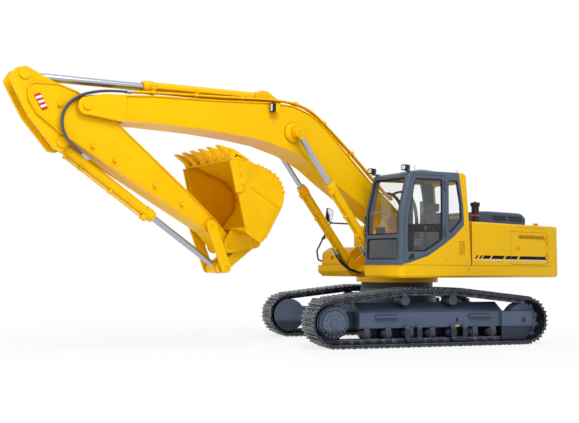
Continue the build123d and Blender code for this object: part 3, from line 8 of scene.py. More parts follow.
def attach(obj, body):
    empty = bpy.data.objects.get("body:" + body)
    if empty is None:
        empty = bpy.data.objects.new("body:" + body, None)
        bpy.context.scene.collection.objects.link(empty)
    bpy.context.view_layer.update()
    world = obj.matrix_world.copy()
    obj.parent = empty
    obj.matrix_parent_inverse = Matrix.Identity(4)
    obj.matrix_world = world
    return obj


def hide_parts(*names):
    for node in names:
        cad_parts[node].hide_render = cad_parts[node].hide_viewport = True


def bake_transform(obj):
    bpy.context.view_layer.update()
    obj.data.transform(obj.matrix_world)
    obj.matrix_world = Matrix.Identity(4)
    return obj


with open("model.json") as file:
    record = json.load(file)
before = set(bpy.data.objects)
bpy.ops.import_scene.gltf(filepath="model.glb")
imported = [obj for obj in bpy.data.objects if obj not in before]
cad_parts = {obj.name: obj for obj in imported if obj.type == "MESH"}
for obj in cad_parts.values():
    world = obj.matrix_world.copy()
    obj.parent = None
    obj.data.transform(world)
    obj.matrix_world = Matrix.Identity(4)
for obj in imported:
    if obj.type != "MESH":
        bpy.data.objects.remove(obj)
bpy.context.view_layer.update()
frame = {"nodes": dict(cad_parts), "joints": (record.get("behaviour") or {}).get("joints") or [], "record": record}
joints = {j["name"]: j for j in frame["joints"]}
SX = joints["slew"]["pos_m"][0]          # swing axis
SLEW = math.radians(-20)


# ------------------------------------------------------------ materials
def links(tree, *pairs):
    for a, b in pairs:
        tree.links.new(a, b)


def node(tree, kind, **values):
    """New shader node; i_N sets input N, other names set an input or a property."""
    n = tree.nodes.new("ShaderNode" + kind)
    for key, value in values.items():
        if key.startswith("i_"):
            n.inputs[int(key[2:])].default_value = value
        elif key in n.inputs:
            n.inputs[key].default_value = value
        else:
            setattr(n, key, value)
    return n


def new_material(name):
    """A material with its node tree and its Principled shader."""
    m = bpy.data.materials.new(name)
    m.use_nodes = True
    return m, m.node_tree, m.node_tree.nodes["Principled BSDF"]


def ramp(tree, stops):
    r = node(tree, "ValToRGB")
    e = r.color_ramp.elements
    while len(e) < len(stops):
        e.new(0.5)
    for slot, (at, colour) in zip(e, stops):
        slot.position = at
        slot.color = (*colour, 1) if len(colour) == 3 else (colour[0],) * 3 + (1,)
    return r


def material(name, base, rough=0.4, metal=0.0, vary=0.06, scale=1.6, grain=0.02, grain_scale=260, coat=0.0,
             edge=None, edge_amount=0.5, corner_shade=None, round_to=0.006, spec=0.3):
    """Painted or cast surface: slow colour drift, fine grain, worn edges with painted glints, painted shade in
    corners.
    """
    m, t, bsdf = new_material(name)
    bsdf.inputs["Metallic"].default_value = metal
    bsdf.inputs["Coat Weight"].default_value = coat
    bsdf.inputs["Coat Roughness"].default_value = 0.12
    bsdf.inputs["Specular IOR Level"].default_value = spec
    where = node(t, "TexCoord")
    slow = node(t, "TexNoise", Scale=scale, Detail=4.0, Roughness=0.55)
    fine = node(t, "TexNoise", Scale=grain_scale, Detail=3.0)
    links(t, (where.outputs["Object"], slow.inputs["Vector"]), (where.outputs["Object"], fine.inputs["Vector"]))
    lo = tuple(c * (1 - vary) for c in base)
    hi = tuple(min(1.0, c * (1 + vary)) for c in base)
    tone = ramp(t, [(0.3, lo), (0.7, hi)])
    links(t, (slow.outputs["Fac"], tone.inputs["Fac"]))
    colour = tone.outputs["Color"]
    normal = None
    if round_to:
        bevel = node(t, "Bevel", samples=4, Radius=round_to)
        normal = bevel.outputs["Normal"]
    if edge is not None:
        # Edges painted lighter: partly wear, partly a painted glint standing in for highlights on the edges.
        geo = node(t, "NewGeometry")
        wide = node(t, "Bevel", samples=4, Radius=max(round_to * 1.6, 0.006))
        dot = node(t, "VectorMath", operation="DOT_PRODUCT")
        mask = node(t, "MapRange", i_1=0.995, i_2=0.88, i_3=0.0, i_4=edge_amount)
        wear_and_glint_noise = node(t, "TexNoise", Scale=14.0, Detail=5.0, Roughness=0.7)
        keep = ramp(t, [(0.35, (0.0,)), (0.62, (1.0,))])
        times = node(t, "Math", operation="MULTIPLY")
        blend = node(t, "MixRGB", Color2=(*edge, 1))
        links(t, (wide.outputs["Normal"], dot.inputs[0]), (geo.outputs["Normal"], dot.inputs[1]),
              (dot.outputs["Value"], mask.inputs[0]), (where.outputs["Object"], wear_and_glint_noise.inputs["Vector"]),
              (wear_and_glint_noise.outputs["Fac"], keep.inputs["Fac"]), (mask.outputs[0], times.inputs[0]),
              (keep.outputs["Color"], times.inputs[1]), (times.outputs[0], blend.inputs["Fac"]),
              (colour, blend.inputs["Color1"]))
        colour = blend.outputs["Color"]
    if corner_shade is not None:
        # Painted shade: the colour darkens in corners and creases, where ambient occlusion finds them.
        ao = node(t, "AmbientOcclusion", samples=6, Distance=0.12)
        painted_shade = ramp(t, [(0.25, corner_shade), (0.75, (1, 1, 1))])
        shade = node(t, "MixRGB", blend_type="MULTIPLY", Fac=1.0)
        links(t, (ao.outputs["AO"], painted_shade.inputs["Fac"]), (colour, shade.inputs["Color1"]),
              (painted_shade.outputs["Color"], shade.inputs["Color2"]))
        colour = shade.outputs["Color"]
    links(t, (colour, bsdf.inputs["Base Color"]))
    gloss = node(t, "MapRange", i_1=0.3, i_2=0.7, i_3=rough * 0.8, i_4=min(1.0, rough * 1.2))
    links(t, (slow.outputs["Fac"], gloss.inputs[0]), (gloss.outputs[0], bsdf.inputs["Roughness"]))
    bump = node(t, "Bump", Strength=grain * 10, Distance=0.001)
    links(t, (fine.outputs["Fac"], bump.inputs["Height"]), (bump.outputs["Normal"], bsdf.inputs["Normal"]))
    if normal is not None:
        links(t, (normal, bump.inputs["Normal"]))
    return m


YELLOW = (0.89, 0.515, 0.0)
paint = material("yellow_enamel", YELLOW, rough=0.34, vary=0.035, coat=0.03, grain=0.012, spec=0.12,
                 corner_shade=(0.7, 0.55, 0.42))
inner_paint = material("bucket_enamel", (0.86, 0.48, 0.0), rough=0.42, vary=0.06, coat=0.02, scale=3.0,
                       grain=0.03, spec=0.12, corner_shade=(0.48, 0.3, 0.2))
frame_grey = material("frame_enamel", (0.085, 0.115, 0.185), rough=0.45, vary=0.1, grain=0.02, spec=0.25,
                      edge=(0.33, 0.38, 0.47), edge_amount=0.5, corner_shade=(0.3, 0.3, 0.36))
# Painted glints: the track steel's edges are painted pale blue-white.
steel = material("track_steel", (0.012, 0.015, 0.023), rough=0.3, metal=0.3, vary=0.25, scale=6.0, grain=0.06,
                 grain_scale=120, spec=0.5, edge=(0.5, 0.6, 0.78), edge_amount=0.9, corner_shade=(0.2, 0.2, 0.22),
                 round_to=0.007)
dark = material("dark_steel", (0.028, 0.03, 0.037), rough=0.5, metal=0.1, vary=0.2, grain=0.04,
                edge=(0.16, 0.17, 0.2), edge_amount=0.5)
roller_grey = material("roller_enamel", (0.07, 0.085, 0.12), rough=0.42, vary=0.12, grain=0.03,
                       edge=(0.3, 0.34, 0.42), edge_amount=0.6, corner_shade=(0.4, 0.4, 0.42))
hood_grey = material("hood_enamel", (0.05, 0.072, 0.125), rough=0.42, vary=0.06, grain=0.015, spec=0.22,
                     corner_shade=(0.4, 0.4, 0.45))
cab_grey = material("cab_enamel", (0.07, 0.098, 0.148), rough=0.36, vary=0.05, coat=0.05, grain=0.012, spec=0.3,
                    corner_shade=(0.4, 0.4, 0.45))
black = material("black_plastic", (0.012, 0.012, 0.014), rough=0.5, vary=0.15, grain=0.05, grain_scale=400)


def glass_material():
    """Clear pane that mirrors more the more steeply it is seen."""
    m, t, bsdf = new_material("tinted_glass")
    t.nodes.remove(bsdf)
    out = t.nodes["Material Output"]
    clear = node(t, "BsdfTransparent", Color=(0.972, 0.984, 0.984, 1))
    shine = node(t, "BsdfGlossy", Color=(1, 1, 1, 1), Roughness=0.02)
    facing = node(t, "LayerWeight", Blend=0.5)
    steep = node(t, "Math", operation="POWER", i_1=3.0)
    share = node(t, "MapRange", i_3=0.03, i_4=0.4)
    mix = node(t, "MixShader")
    links(t, (facing.outputs["Facing"], steep.inputs[0]), (steep.outputs[0], share.inputs[0]),
          (share.outputs[0], mix.inputs[0]), (clear.outputs[0], mix.inputs[1]),
          (shine.outputs[0], mix.inputs[2]), (mix.outputs[0], out.inputs["Surface"]))
    return m


glass = glass_material()

FINISH = {
    "yellow_paint": paint, "undercarriage_grey": frame_grey, "track_steel": steel, "dark_steel": dark,
    "hood_grey": hood_grey, "cab_grey": cab_grey, "glass": glass, "seat_fabric": black,
    "black_plastic": black, "chrome_rod": paint,          # the rods get their own finish below
}
SLOT_OF = {s["node"]: s["material_slot"] for s in frame["record"]["subparts"]}
OTHER = {"rollers_left": roller_grey, "rollers_right": roller_grey, "bucket": inner_paint, "bucket_pin": paint,
         "handrails": dark, "mirror": dark}
for name, obj in frame["nodes"].items():
    obj.data.materials.clear()
    obj.data.materials.append(OTHER.get(name, FINISH[SLOT_OF[name]]))


def ground_shade(m, z0, z1, shade):
    """Darker towards the ground: painted shade on the low parts."""
    t = m.node_tree
    bsdf = t.nodes["Principled BSDF"]
    colour = bsdf.inputs["Base Color"].links[0].from_socket
    where = node(t, "TexCoord")
    parts = node(t, "SeparateXYZ")
    rise = node(t, "MapRange", i_1=z0, i_2=z1, i_3=1.0, i_4=0.0)
    painted_shade = node(t, "MixRGB", blend_type="MULTIPLY", Color2=(*shade, 1))
    links(t, (where.outputs["Object"], parts.inputs[0]), (parts.outputs["Z"], rise.inputs[0]),
          (rise.outputs[0], painted_shade.inputs["Fac"]), (colour, painted_shade.inputs["Color1"]),
          (painted_shade.outputs["Color"], bsdf.inputs["Base Color"]))


# painted shade on the low parts of the track frame and on the rollers
ground_shade(frame_grey, 0.3, 0.36, (0.3, 0.3, 0.33))
ground_shade(roller_grey, 0.18, 0.33, (0.4, 0.4, 0.42))


# ------------------------------------------------------------ rods: chrome up to the eye, painted eye
def rod_material(name, base, pin, eye):
    """Chrome along the cylinder, paint on the eye: the border is a distance along the cylinder."""
    m = paint.copy()
    m.name = name
    t = m.node_tree
    out = t.nodes["Material Output"]
    painted = t.nodes["Principled BSDF"]
    way = Vector((pin[0] - base[0], 0, pin[1] - base[1]))
    reach = way.length - eye
    way.normalize()
    where = node(t, "TexCoord")
    from_base = node(t, "VectorMath", operation="SUBTRACT", i_1=(SX + base[0], 0, base[1]))
    along = node(t, "VectorMath", operation="DOT_PRODUCT", i_1=tuple(way))
    past = node(t, "MapRange", i_1=reach - 0.001, i_2=reach + 0.001)
    plate = node(t, "BsdfPrincipled")
    plate.inputs["Base Color"].default_value = (0.43, 0.46, 0.53, 1)
    plate.inputs["Metallic"].default_value = 1.0
    plate.inputs["Roughness"].default_value = 0.26
    mix = node(t, "MixShader")
    links(t, (where.outputs["Object"], from_base.inputs[0]), (from_base.outputs["Vector"], along.inputs[0]),
          (along.outputs["Value"], past.inputs[0]), (past.outputs[0], mix.inputs[0]),
          (plate.outputs[0], mix.inputs[1]), (painted.outputs[0], mix.inputs[2]),
          (mix.outputs[0], out.inputs["Surface"]))
    return m


# each cylinder's base pin and rod pin, (x, z) in metres
BOOM_CYL = ((0.9, 1.47), (2.842, 3.75))
ARM_CYL = ((3.391, 4.334), (7.52, 4.08))
BUCKET_CYL = ((6.95, 3.167), (4.213, 1.382))
for which, (base, pin), eye in (("boom", BOOM_CYL, 0.13), ("arm", ARM_CYL, 0.14), ("bucket", BUCKET_CYL, 0.12)):
    rod = frame["nodes"][f"{which}_cylinder_rod"]
    rod.data.materials[0] = rod_material(f"{which}_rod_finish", base, pin, eye)

hose_grey = material("hose_cover", (0.085, 0.092, 0.105), rough=0.5, vary=0.15, grain=0.05, grain_scale=300,
                     round_to=0)
rubber = material("rubber", (0.01, 0.011, 0.013), rough=0.55, vary=0.2, grain=0.05, grain_scale=300, round_to=0.003)
ferrule = material("zinc_steel", (0.5, 0.52, 0.55), rough=0.3, metal=0.9, vary=0.1, grain=0.01, round_to=0.002)
bolt_steel = material("bolt_steel", (0.06, 0.068, 0.085), rough=0.4, metal=0.4, vary=0.2, grain=0.03, round_to=0.002,
                      edge=(0.5, 0.54, 0.6), edge_amount=0.7)
stripe_black = material("stripe_black", (0.004, 0.004, 0.005), rough=0.5, vary=0.1, grain=0.01, round_to=0, spec=0.08)
stripe_pale = material("stripe_pale", (0.62, 0.66, 0.72), rough=0.35, vary=0.05, grain=0.01, round_to=0)
red = material("red_film", (0.62, 0.012, 0.01), rough=0.35, vary=0.05, grain=0.01, round_to=0)
white = material("white_film", (0.85, 0.85, 0.85), rough=0.3, vary=0.03, grain=0.01, round_to=0)
lens = material("lamp_lens", (0.7, 0.74, 0.76), rough=0.12, vary=0.08, scale=30.0, grain=0.08, grain_scale=90,
                coat=0.6, round_to=0)
mirror_face = material("mirror_face", (0.75, 0.78, 0.8), rough=0.04, metal=1.0, vary=0.02, grain=0.002, round_to=0)
mat_black = material("floor_mat", (0.02, 0.02, 0.022), rough=0.7, vary=0.15, grain=0.12, grain_scale=60)
pad_grip = material("grip_pad", (0.014, 0.014, 0.016), rough=0.8, vary=0.2, grain=0.2, grain_scale=45)


def cloth_material(name, base, weave):
    """Woven seat cover: crossed threads as bump and colour, with a soft sheen."""
    m, t, bsdf = new_material(name)
    bsdf.inputs["Roughness"].default_value = 0.85
    bsdf.inputs["Sheen Weight"].default_value = 0.4
    where = node(t, "TexCoord")
    warp = node(t, "TexWave", Scale=weave, Distortion=0.6)
    weft = node(t, "TexWave", Scale=weave, Distortion=0.6, bands_direction="Z")
    both = node(t, "Math", operation="MULTIPLY")
    slow = node(t, "TexNoise", Scale=9.0, Detail=3.0)
    blotch = ramp(t, [(0.3, tuple(c * 0.75 for c in base)), (0.7, tuple(c * 1.2 for c in base))])
    thread = node(t, "MixRGB", blend_type="MULTIPLY", Fac=0.45)
    bump = node(t, "Bump", Strength=0.5, Distance=0.001)
    links(t, (where.outputs["Object"], warp.inputs["Vector"]), (where.outputs["Object"], weft.inputs["Vector"]),
          (where.outputs["Object"], slow.inputs["Vector"]), (warp.outputs["Fac"], both.inputs[0]),
          (weft.outputs["Fac"], both.inputs[1]), (slow.outputs["Fac"], blotch.inputs["Fac"]),
          (blotch.outputs["Color"], thread.inputs["Color1"]), (both.outputs[0], thread.inputs["Color2"]),
          (thread.outputs["Color"], bsdf.inputs["Base Color"]), (both.outputs[0], bump.inputs["Height"]),
          (bump.outputs["Normal"], bsdf.inputs["Normal"]))
    return m


trim_grey = material("cab_trim", (0.055, 0.064, 0.08), rough=0.65, vary=0.12, grain=0.08, grain_scale=180, spec=0.2)
seat_cloth = cloth_material("seat_cloth", (0.075, 0.1, 0.15), 150.0)


# ------------------------------------------------------------ piece builders
def add(name, data):
    """New object in the scene."""
    obj = bpy.data.objects.new(name, data)
    bpy.context.collection.objects.link(obj)
    return obj


def at(x, y, z):
    """A point of the upper structure, x from the swing axis."""
    return Vector((SX + x, y, z))


def low(x, y, z):
    """A point of the undercarriage in its own axes."""
    c, s = math.cos(SLEW), math.sin(SLEW)
    return Vector((SX + x * c - y * s, x * s + y * c, z))


def low_way(x, y, z):
    """A direction of the undercarriage's own axes."""
    c, s = math.cos(SLEW), math.sin(SLEW)
    return Vector((x * c - y * s, x * s + y * c, z))


groups = []
USUAL_SLOT = {"yellow_enamel": "yellow_paint", "rubber": "black_plastic", "zinc_steel": "dark_steel"}
LEFT = Vector((0, 1, 0))
SIDE_Y = 1.45          # face of the side bodies and of the cab's lower frame
GLASS_Y = 1.43         # face of the cab's side windows


def group(name, body, finish, slot=None):
    """Mesh under construction that becomes one piece on that body."""
    bm = bmesh.new()
    groups.append((name, body, finish, slot or USUAL_SLOT[finish.name], bm))
    return bm


def lathe(bm, origin, way, profile, sides=20):
    """Turned shape: (radius, height) pairs along an axis."""
    way = Vector(way).normalized()
    u = way.orthogonal().normalized()
    v = way.cross(u)
    rings = []
    for r, h in profile:
        centre = origin + way * h
        if r == 0:
            rings.append([bm.verts.new(centre)])
        else:
            rings.append([bm.verts.new(centre + (u * math.cos(a) + v * math.sin(a)) * r)
                          for a in (2 * math.pi * i / sides for i in range(sides))])
    for a, b in zip(rings, rings[1:]):
        for i in range(sides):
            j = (i + 1) % sides
            if len(a) == 1:
                bm.faces.new((a[0], b[i], b[j]))
            elif len(b) == 1:
                bm.faces.new((a[j], a[i], b[0]))
            else:
                bm.faces.new((a[i], b[i], b[j], a[j]))


def disc(r, h):
    """Profile of a plain round plate."""
    return [(0, 0), (r, 0), (r, h), (0, h)]


def socket(r, h, hole, floor_h):
    """Profile of a round head with a recess."""
    return [(0, 0), (r, 0), (r, h), (hole, h), (hole, floor_h), (0, floor_h)]


def bolt(bm, spot, way, r=0.014, h=0.01):
    """Hex head with a chamfer on a washer."""
    lathe(bm, spot, way, [(0, 0), (r * 1.45, 0), (r * 1.45, h * 0.22), (0, h * 0.22)], 16)
    lathe(bm, spot + Vector(way).normalized() * h * 0.22, way,
          [(0, 0), (r, 0), (r, h * 0.85), (r * 0.84, h), (0, h)], 6)


def slab(bm, pts, depth, soft=0.0):
    """Prism on a flat outline, its edges rounded off."""
    depth = Vector(depth)
    lower = [bm.verts.new(p) for p in pts]
    upper = [bm.verts.new(p + depth) for p in pts]
    faces = [bm.faces.new(lower), bm.faces.new(upper[::-1])]
    n = len(pts)
    for i in range(n):
        j = (i + 1) % n
        faces.append(bm.faces.new((lower[j], lower[i], upper[i], upper[j])))
    if soft:
        edges = list(dict.fromkeys(e for f in faces for e in f.edges))     # in a fixed order
        bmesh.ops.bevel(bm, geom=edges, offset=soft, segments=2, affect="EDGES", profile=0.6)


def plate(bm, y, outline, depth, soft=0.0):
    """Slab on an upright (x, z) outline of the upper structure, depth metres thick towards +Y."""
    slab(bm, [at(x, y, z) for x, z in outline], (0, depth, 0), soft)


def low_plate(bm, y, outline, depth, soft):
    """The same on the undercarriage."""
    slab(bm, [low(x, y, z) for x, z in outline], low_way(0, depth, 0), soft)


def corners(x0, x1, z0, z1):
    """Outline of an upright rectangle."""
    return [(x0, z0), (x1, z0), (x1, z1), (x0, z1)]


def box(bm, lo, hi, soft=0.003):
    """Upright block between two corners."""
    (x0, y0, z0), (x1, y1, z1) = lo, hi
    slab(bm, [Vector((x0, y0, z0)), Vector((x1, y0, z0)), Vector((x1, y1, z0)), Vector((x0, y1, z0))],
         (0, 0, z1 - z0), soft)


def rounded_loop(points, radii, steps=6):
    """Closed flat outline with its corners rounded, as a list of points."""
    if not isinstance(radii, (list, tuple)):
        radii = [radii] * len(points)
    out = []
    for i, p in enumerate(points):
        a, c = Vector(points[i - 1]), Vector(points[(i + 1) % len(points)])
        p = Vector(p)
        ua, uc = (a - p).normalized(), (c - p).normalized()
        half = ua.angle(uc) / 2
        cut = min(radii[i] / math.tan(half), (a - p).length * 0.49, (c - p).length * 0.49)
        start, end = p + ua * cut, p + uc * cut
        for k in range(steps + 1):
            s = k / steps
            out.append(start.lerp(p, s).lerp(p.lerp(end, s), s))
    return out


def band(bm, loop, width, place, depth):
    """Flat ring inside a closed outline: place turns its (u, v) into a point."""
    n = len(loop)
    area = sum(loop[i - 1].x * loop[i].y - loop[i].x * loop[i - 1].y for i in range(n))
    hand = 1 if area > 0 else -1
    inner = []
    for i in range(n):
        t = (loop[(i + 1) % n] - loop[i - 1]).normalized()
        inner.append(loop[i] + Vector((-t.y, t.x)) * hand * width)
    depth = Vector(depth)
    sets = [[bm.verts.new(place(p)) for p in loop], [bm.verts.new(place(p) + depth) for p in loop],
            [bm.verts.new(place(p) + depth) for p in inner], [bm.verts.new(place(p)) for p in inner]]
    for k in range(4):
        a, b = sets[k], sets[(k + 1) % 4]
        for i in range(n):
            j = (i + 1) % n
            bm.faces.new((a[i], a[j], b[j], b[i]))


TUBE_R = 0.01           # bevel of the curve, which each run scales to its own radius


def pipes(name, body, finish, runs):
    """Bent tubes: (points, radius) each, on smooth splines."""
    data = bpy.data.curves.new(name, "CURVE")
    data.dimensions = "3D"
    data.bevel_depth = TUBE_R
    data.bevel_resolution = 4
    data.resolution_u = 8
    data.use_fill_caps = True
    for points, r in runs:
        s = data.splines.new("NURBS")
        s.points.add(len(points) - 1)
        for slot_point, p in zip(s.points, points):
            slot_point.co = (*p, 1)
            slot_point.radius = r / TUBE_R
        s.order_u = 3
        s.use_endpoint_u = True
    data.materials.append(finish)
    obj = add(name, data)
    if body is None:            # a hose on no body is made a mesh
        bpy.context.view_layer.update()
        tube = add(name + "_tube", bpy.data.meshes.new_from_object(obj))
        bpy.data.objects.remove(obj)
        obj = tube
        obj.name = name
    else:
        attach(obj, body)
    return obj


def clip(poly, x0, x1):
    """Part of a flat (x, z) outline between two uprights."""
    for edge, keep in ((x0, 1), (x1, -1)):
        out = []
        for i, p in enumerate(poly):
            q = poly[i - 1]
            pin, qin = (p[0] - edge) * keep >= 0, (q[0] - edge) * keep >= 0
            if pin != qin:
                t = (edge - q[0]) / (p[0] - q[0])
                out.append((edge, q[1] + (p[1] - q[1]) * t))
            if pin:
                out.append(p)
        poly = out
        if not poly:
            return []
    return poly


# ------------------------------------------------------------ tracks
PITCH_R, AXLE_Z, HALF = 0.345, 0.445, 1.91     # end wheels: pin circle, height, half the wheelbase
TRACK_Y = 1.29                                 # middle of a track
WHEELS = (((HALF, AXLE_Z), PITCH_R), ((0.5, 0.82), 0.133), ((-0.46, 0.82), 0.133), ((-HALF, AXLE_Z), PITCH_R))


def chain_path():
    """Straights and arcs of the pin line, anticlockwise from the sprocket's upper tangent."""
    n = len(WHEELS)
    ends = []
    for i in range(n):
        (c1, r1), (c2, r2) = WHEELS[i], WHEELS[(i + 1) % n]
        c1, c2 = Vector(c1), Vector(c2)
        way = c2 - c1
        lean = math.atan2(way.y, way.x) - math.acos((r1 - r2) / way.length)
        side = Vector((math.cos(lean), math.sin(lean)))
        ends.append((c1 + side * r1, c2 + side * r2))
    path = []
    for i in range(n):
        c, r = Vector(WHEELS[(i + 1) % n][0]), WHEELS[(i + 1) % n][1]
        a, b = ends[i]
        nxt = ends[(i + 1) % n][0]
        start = math.atan2(b.y - c.y, b.x - c.x)
        end = math.atan2(nxt.y - c.y, nxt.x - c.x)
        while end < start:
            end += 2 * math.pi
        path += [("line", (b - a).length, a, b), ("arc", r * (end - start), c, r, start, end)]
    return path


CHAIN = chain_path()
LOOP = sum(part[1] for part in CHAIN)


def on_chain(s):
    """The point s metres along the pin line."""
    s %= LOOP
    for part in CHAIN:
        if s <= part[1]:
            f = s / part[1]
            if part[0] == "line":
                return part[2].lerp(part[3], f)
            a = part[4] + (part[5] - part[4]) * f
            return part[2] + Vector((math.cos(a), math.sin(a))) * part[3]
        s -= part[1]
    return on_chain(0)


SHOES = 48
FIRST_PIN = 0.02661241                          # from the start of the pin line
LINK = [(-0.04, -0.022), (-0.022, -0.04), (0.06, -0.043), (0.15, -0.03), (0.16, 0.02), (0.12, 0.052),
        (0.03, 0.052), (-0.038, 0.02)]        # link plate, along the chain and outwards from its pin
pins = [on_chain(FIRST_PIN + i * LOOP / SHOES) for i in range(SHOES)]
for name, hand in (("left", 1), ("right", -1)):
    plates = group(f"chain_links_{name}", "undercarriage", steel, "track_steel")
    bolts = group(f"shoe_bolts_{name}", "undercarriage", bolt_steel, "track_steel")
    mid = hand * TRACK_Y
    for p, q in zip(pins, pins[1:] + pins[:1]):
        t = (q - p).normalized()
        o = Vector((t.y, -t.x))
        length = (q - p).length
        for out in (1, -1):
            side_y = mid + out * 0.105
            flat = [p + t * a + o * b for a, b in LINK]
            slab(plates, [low(v.x, side_y, v.y) for v in flat], low_way(0, out * 0.005, 0), 0.0015)
            lathe(plates, low(p.x, side_y, p.y), low_way(0, out, 0),
                  socket(0.03, 0.007, 0.02, 0.004), 14)
        for share in (0.31, 0.7):
            for y in (-0.085, 0.085):
                v = p + t * length * share + o * 0.0695
                bolt(bolts, low(v.x, mid + y, v.y), low_way(o.x, 0, o.y), 0.0135, 0.014)

for name, hand in (("left", 1), ("right", -1)):
    hub = group(f"drive_bolts_{name}", "undercarriage", bolt_steel, "undercarriage_grey")
    side = low_way(0, hand, 0)
    for count, first, ring_r, face_y, head in ((20, 0, 0.234, 1.5135, (0.013, 0.018)),
                                               (10, 0.5, 0.15, 1.5355, (0.011, 0.012))):
        for i in range(count):
            a = 2 * math.pi * (i + first) / count
            bolt(hub, low(HALF + ring_r * math.cos(a), hand * face_y, AXLE_Z + ring_r * math.sin(a)), side, *head)
    for a in (0.6, 2.7, 4.9):
        lathe(hub, low(HALF + 0.045 * math.cos(a), hand * 1.5445, AXLE_Z + 0.045 * math.sin(a)), side,
              socket(0.014, 0.006, 0.006, 0.002), 6)
    for x in (0.37, -0.55):
        for dx, z in ((-0.118, 0.33), (0.118, 0.33), (-0.118, 0.14), (0.118, 0.14)):
            bolt(hub, low(x + dx, hand * 1.46, z), side, 0.013, 0.011)
    for a in range(4):
        w = math.pi / 4 + a * math.pi / 2
        bolt(hub, low(-HALF - 0.03 + 0.085 * math.cos(w), hand * 1.447, AXLE_Z + 0.085 * math.sin(w)), side, 0.011,
             0.01)
    lathe(hub, low(-HALF, hand * 1.405, AXLE_Z), side, [(0, 0), (0.04, 0), (0.04, 0.022), (0.026, 0.03), (0, 0.03)],
          24)
    # Dark sheet inside the track under the beam: painted shade where the inside of the track lies in shadow.
    shade_sheet = group(f"inner_shade_sheet_{name}", "undercarriage", dark, "undercarriage_grey")
    low_plate(shade_sheet, hand * 1.1, ((-1.35, 0.328), (1.3, 0.328), (1.3, 0.175), (1.22, 0.12), (-1.27, 0.12),
                                  (-1.35, 0.175)), hand * 0.008, 0.002)
    mark = group(f"beam_plate_{name}", "undercarriage", paint)
    low_plate(mark, hand * 1.3805, ((-0.49, 0.335), (-0.59, 0.335), (-0.59, 0.366), (-0.49, 0.366)), hand * 0.003,
              0.001)
    # Black plate in the beam's slot: painted shade of the slot's hollow.
    slot_shade = group(f"beam_slot_shade_{name}", "undercarriage", rubber, "undercarriage_grey")
    low_plate(slot_shade, hand * 1.3555, ((-0.588, 0.434), (-0.502, 0.434), (-0.502, 0.476), (-0.588, 0.476)),
              hand * 0.004, 0.001)

# ------------------------------------------------------------ upper structure
# stripes: front and rear end of each bar at STRIPE_Z, from which the ends lean at 45 degrees
STRIPE_Z = 1.552
STRIPES = ((-0.575, -0.628), (-0.696, -0.755), (-0.797, -1.01), (-1.06, -1.431), (-1.489, -1.867), (-1.927, None))
for name, hand in (("left", 1), ("right", -1)):
    for part, body, x0, x1 in (("front", "house", -1.718, -0.55), ("door", f"side_door_{name}", -2.934, -1.732),
                               ("rear", "house", -2.994, -2.946)):
        if hand < 0 and part == "front":
            x1 = -1.01
        black_bm = group(f"stripe_black_{part}_{name}", body, stripe_black, "black_plastic")
        pale_bm = group(f"stripe_pale_{part}_{name}", body, stripe_pale, "yellow_paint")
        for a, b in STRIPES:
            for bm, z0, z1 in ((black_bm, 1.583, 1.648), (pale_bm, 1.554, 1.576)):
                s0, s1 = z0 - STRIPE_Z, z1 - STRIPE_Z
                if b is None:
                    poly = [(a - s0, z0), (-3.2, z0), (-3.2, z1), (a - s1, z1)]
                else:
                    poly = [(a - s0, z0), (b - s0, z0), (b - s1, z1), (a - s1, z1)]
                poly = clip(poly, x0, x1)
                if len(poly) > 2:
                    plate(bm, hand * SIDE_Y, poly, hand * 0.0012)
    latch = group(f"door_latch_{name}", f"side_door_{name}", paint)
    x0, x1, z0, z1 = -2.005, -1.88, 1.766, 1.854
    loop = rounded_loop(corners(x0, x1, z0, z1), 0.012, 3)
    band(latch, loop, 0.01, lambda p: at(p.x, hand * SIDE_Y, p.y), (0, hand * 0.006, 0))
    plate(latch, hand * SIDE_Y, corners(x0 + .02, x1 - .02, z0 + .035, z1 - .018), hand * 0.008, 0.002)
    key = group(f"latch_key_{name}", f"side_door_{name}", bolt_steel, "dark_steel")
    lathe(key, at(-1.942, hand * SIDE_Y, 1.788), (0, hand, 0), [(0, 0), (0.01, 0), (0.01, 0.006), (0.005, 0.006),
                                                                (0.004, 0.003), (0, 0.003)], 16)

seams = group("body_seams", "house", rubber)
for x0, x1, z0, z1 in ((-0.529, -0.521, 1.458, 2.285), (-2.996, -0.525, 1.4495, 1.4555)):
    plate(seams, 1.4478, corners(x0, x1, z0, z1), 0.003)
plate(seams, 1.4478, corners(-0.52, 1.3, 1.4495, 1.4545), 0.003)
studs = group("body_bolts", "house", bolt_steel, "dark_steel")
for x, z in ((-0.366, 2.121), (-0.37, 1.517), (0.198, 1.56)):
    lathe(studs, at(x, SIDE_Y, z), LEFT, [(0, 0), (0.012, 0), (0.011, 0.005), (0.004, 0.005), (0.004, 0.002),
                                          (0, 0.002)], 14)
lathe(studs, at(-0.42, SIDE_Y, 1.377), LEFT, [(0, 0), (0.012, 0), (0.01, 0.005), (0, 0.005)], 14)

liner = group("hood_liner", "engine_hood", rubber)
for hand in (1, -1):
    plate(liner, hand * 0.722, corners(-3.13, -2.02, 2.4, 2.508), hand * 0.004, 0.001)
for hand in (1, -1):
    slab(liner, [at(x, hand * y, z) for x, y, z in ((-3.13, 0.721, 2.507), (-2.02, 0.721, 2.507),
                                                    (-2.02, 0.662, 2.566), (-3.13, 0.662, 2.566))],
         (0, -hand * 0.003, -0.003))
ring = group("precleaner_ring", "house", red, "black_plastic")
lathe(ring, at(-1.26, 0.95, 0), (0, 0, 1), [(0.0755, 2.44), (0.079, 2.443), (0.079, 2.467), (0.0755, 2.47)], 40)
face = group("mirror_glass", "house", mirror_face, "glass")
mirror_loop = rounded_loop([(0.64, 2.636), (0.501, 2.586), (0.549, 2.347), (0.68, 2.395)], 0.018, 4)
plate(face, -1.35, mirror_loop, 0.0015)

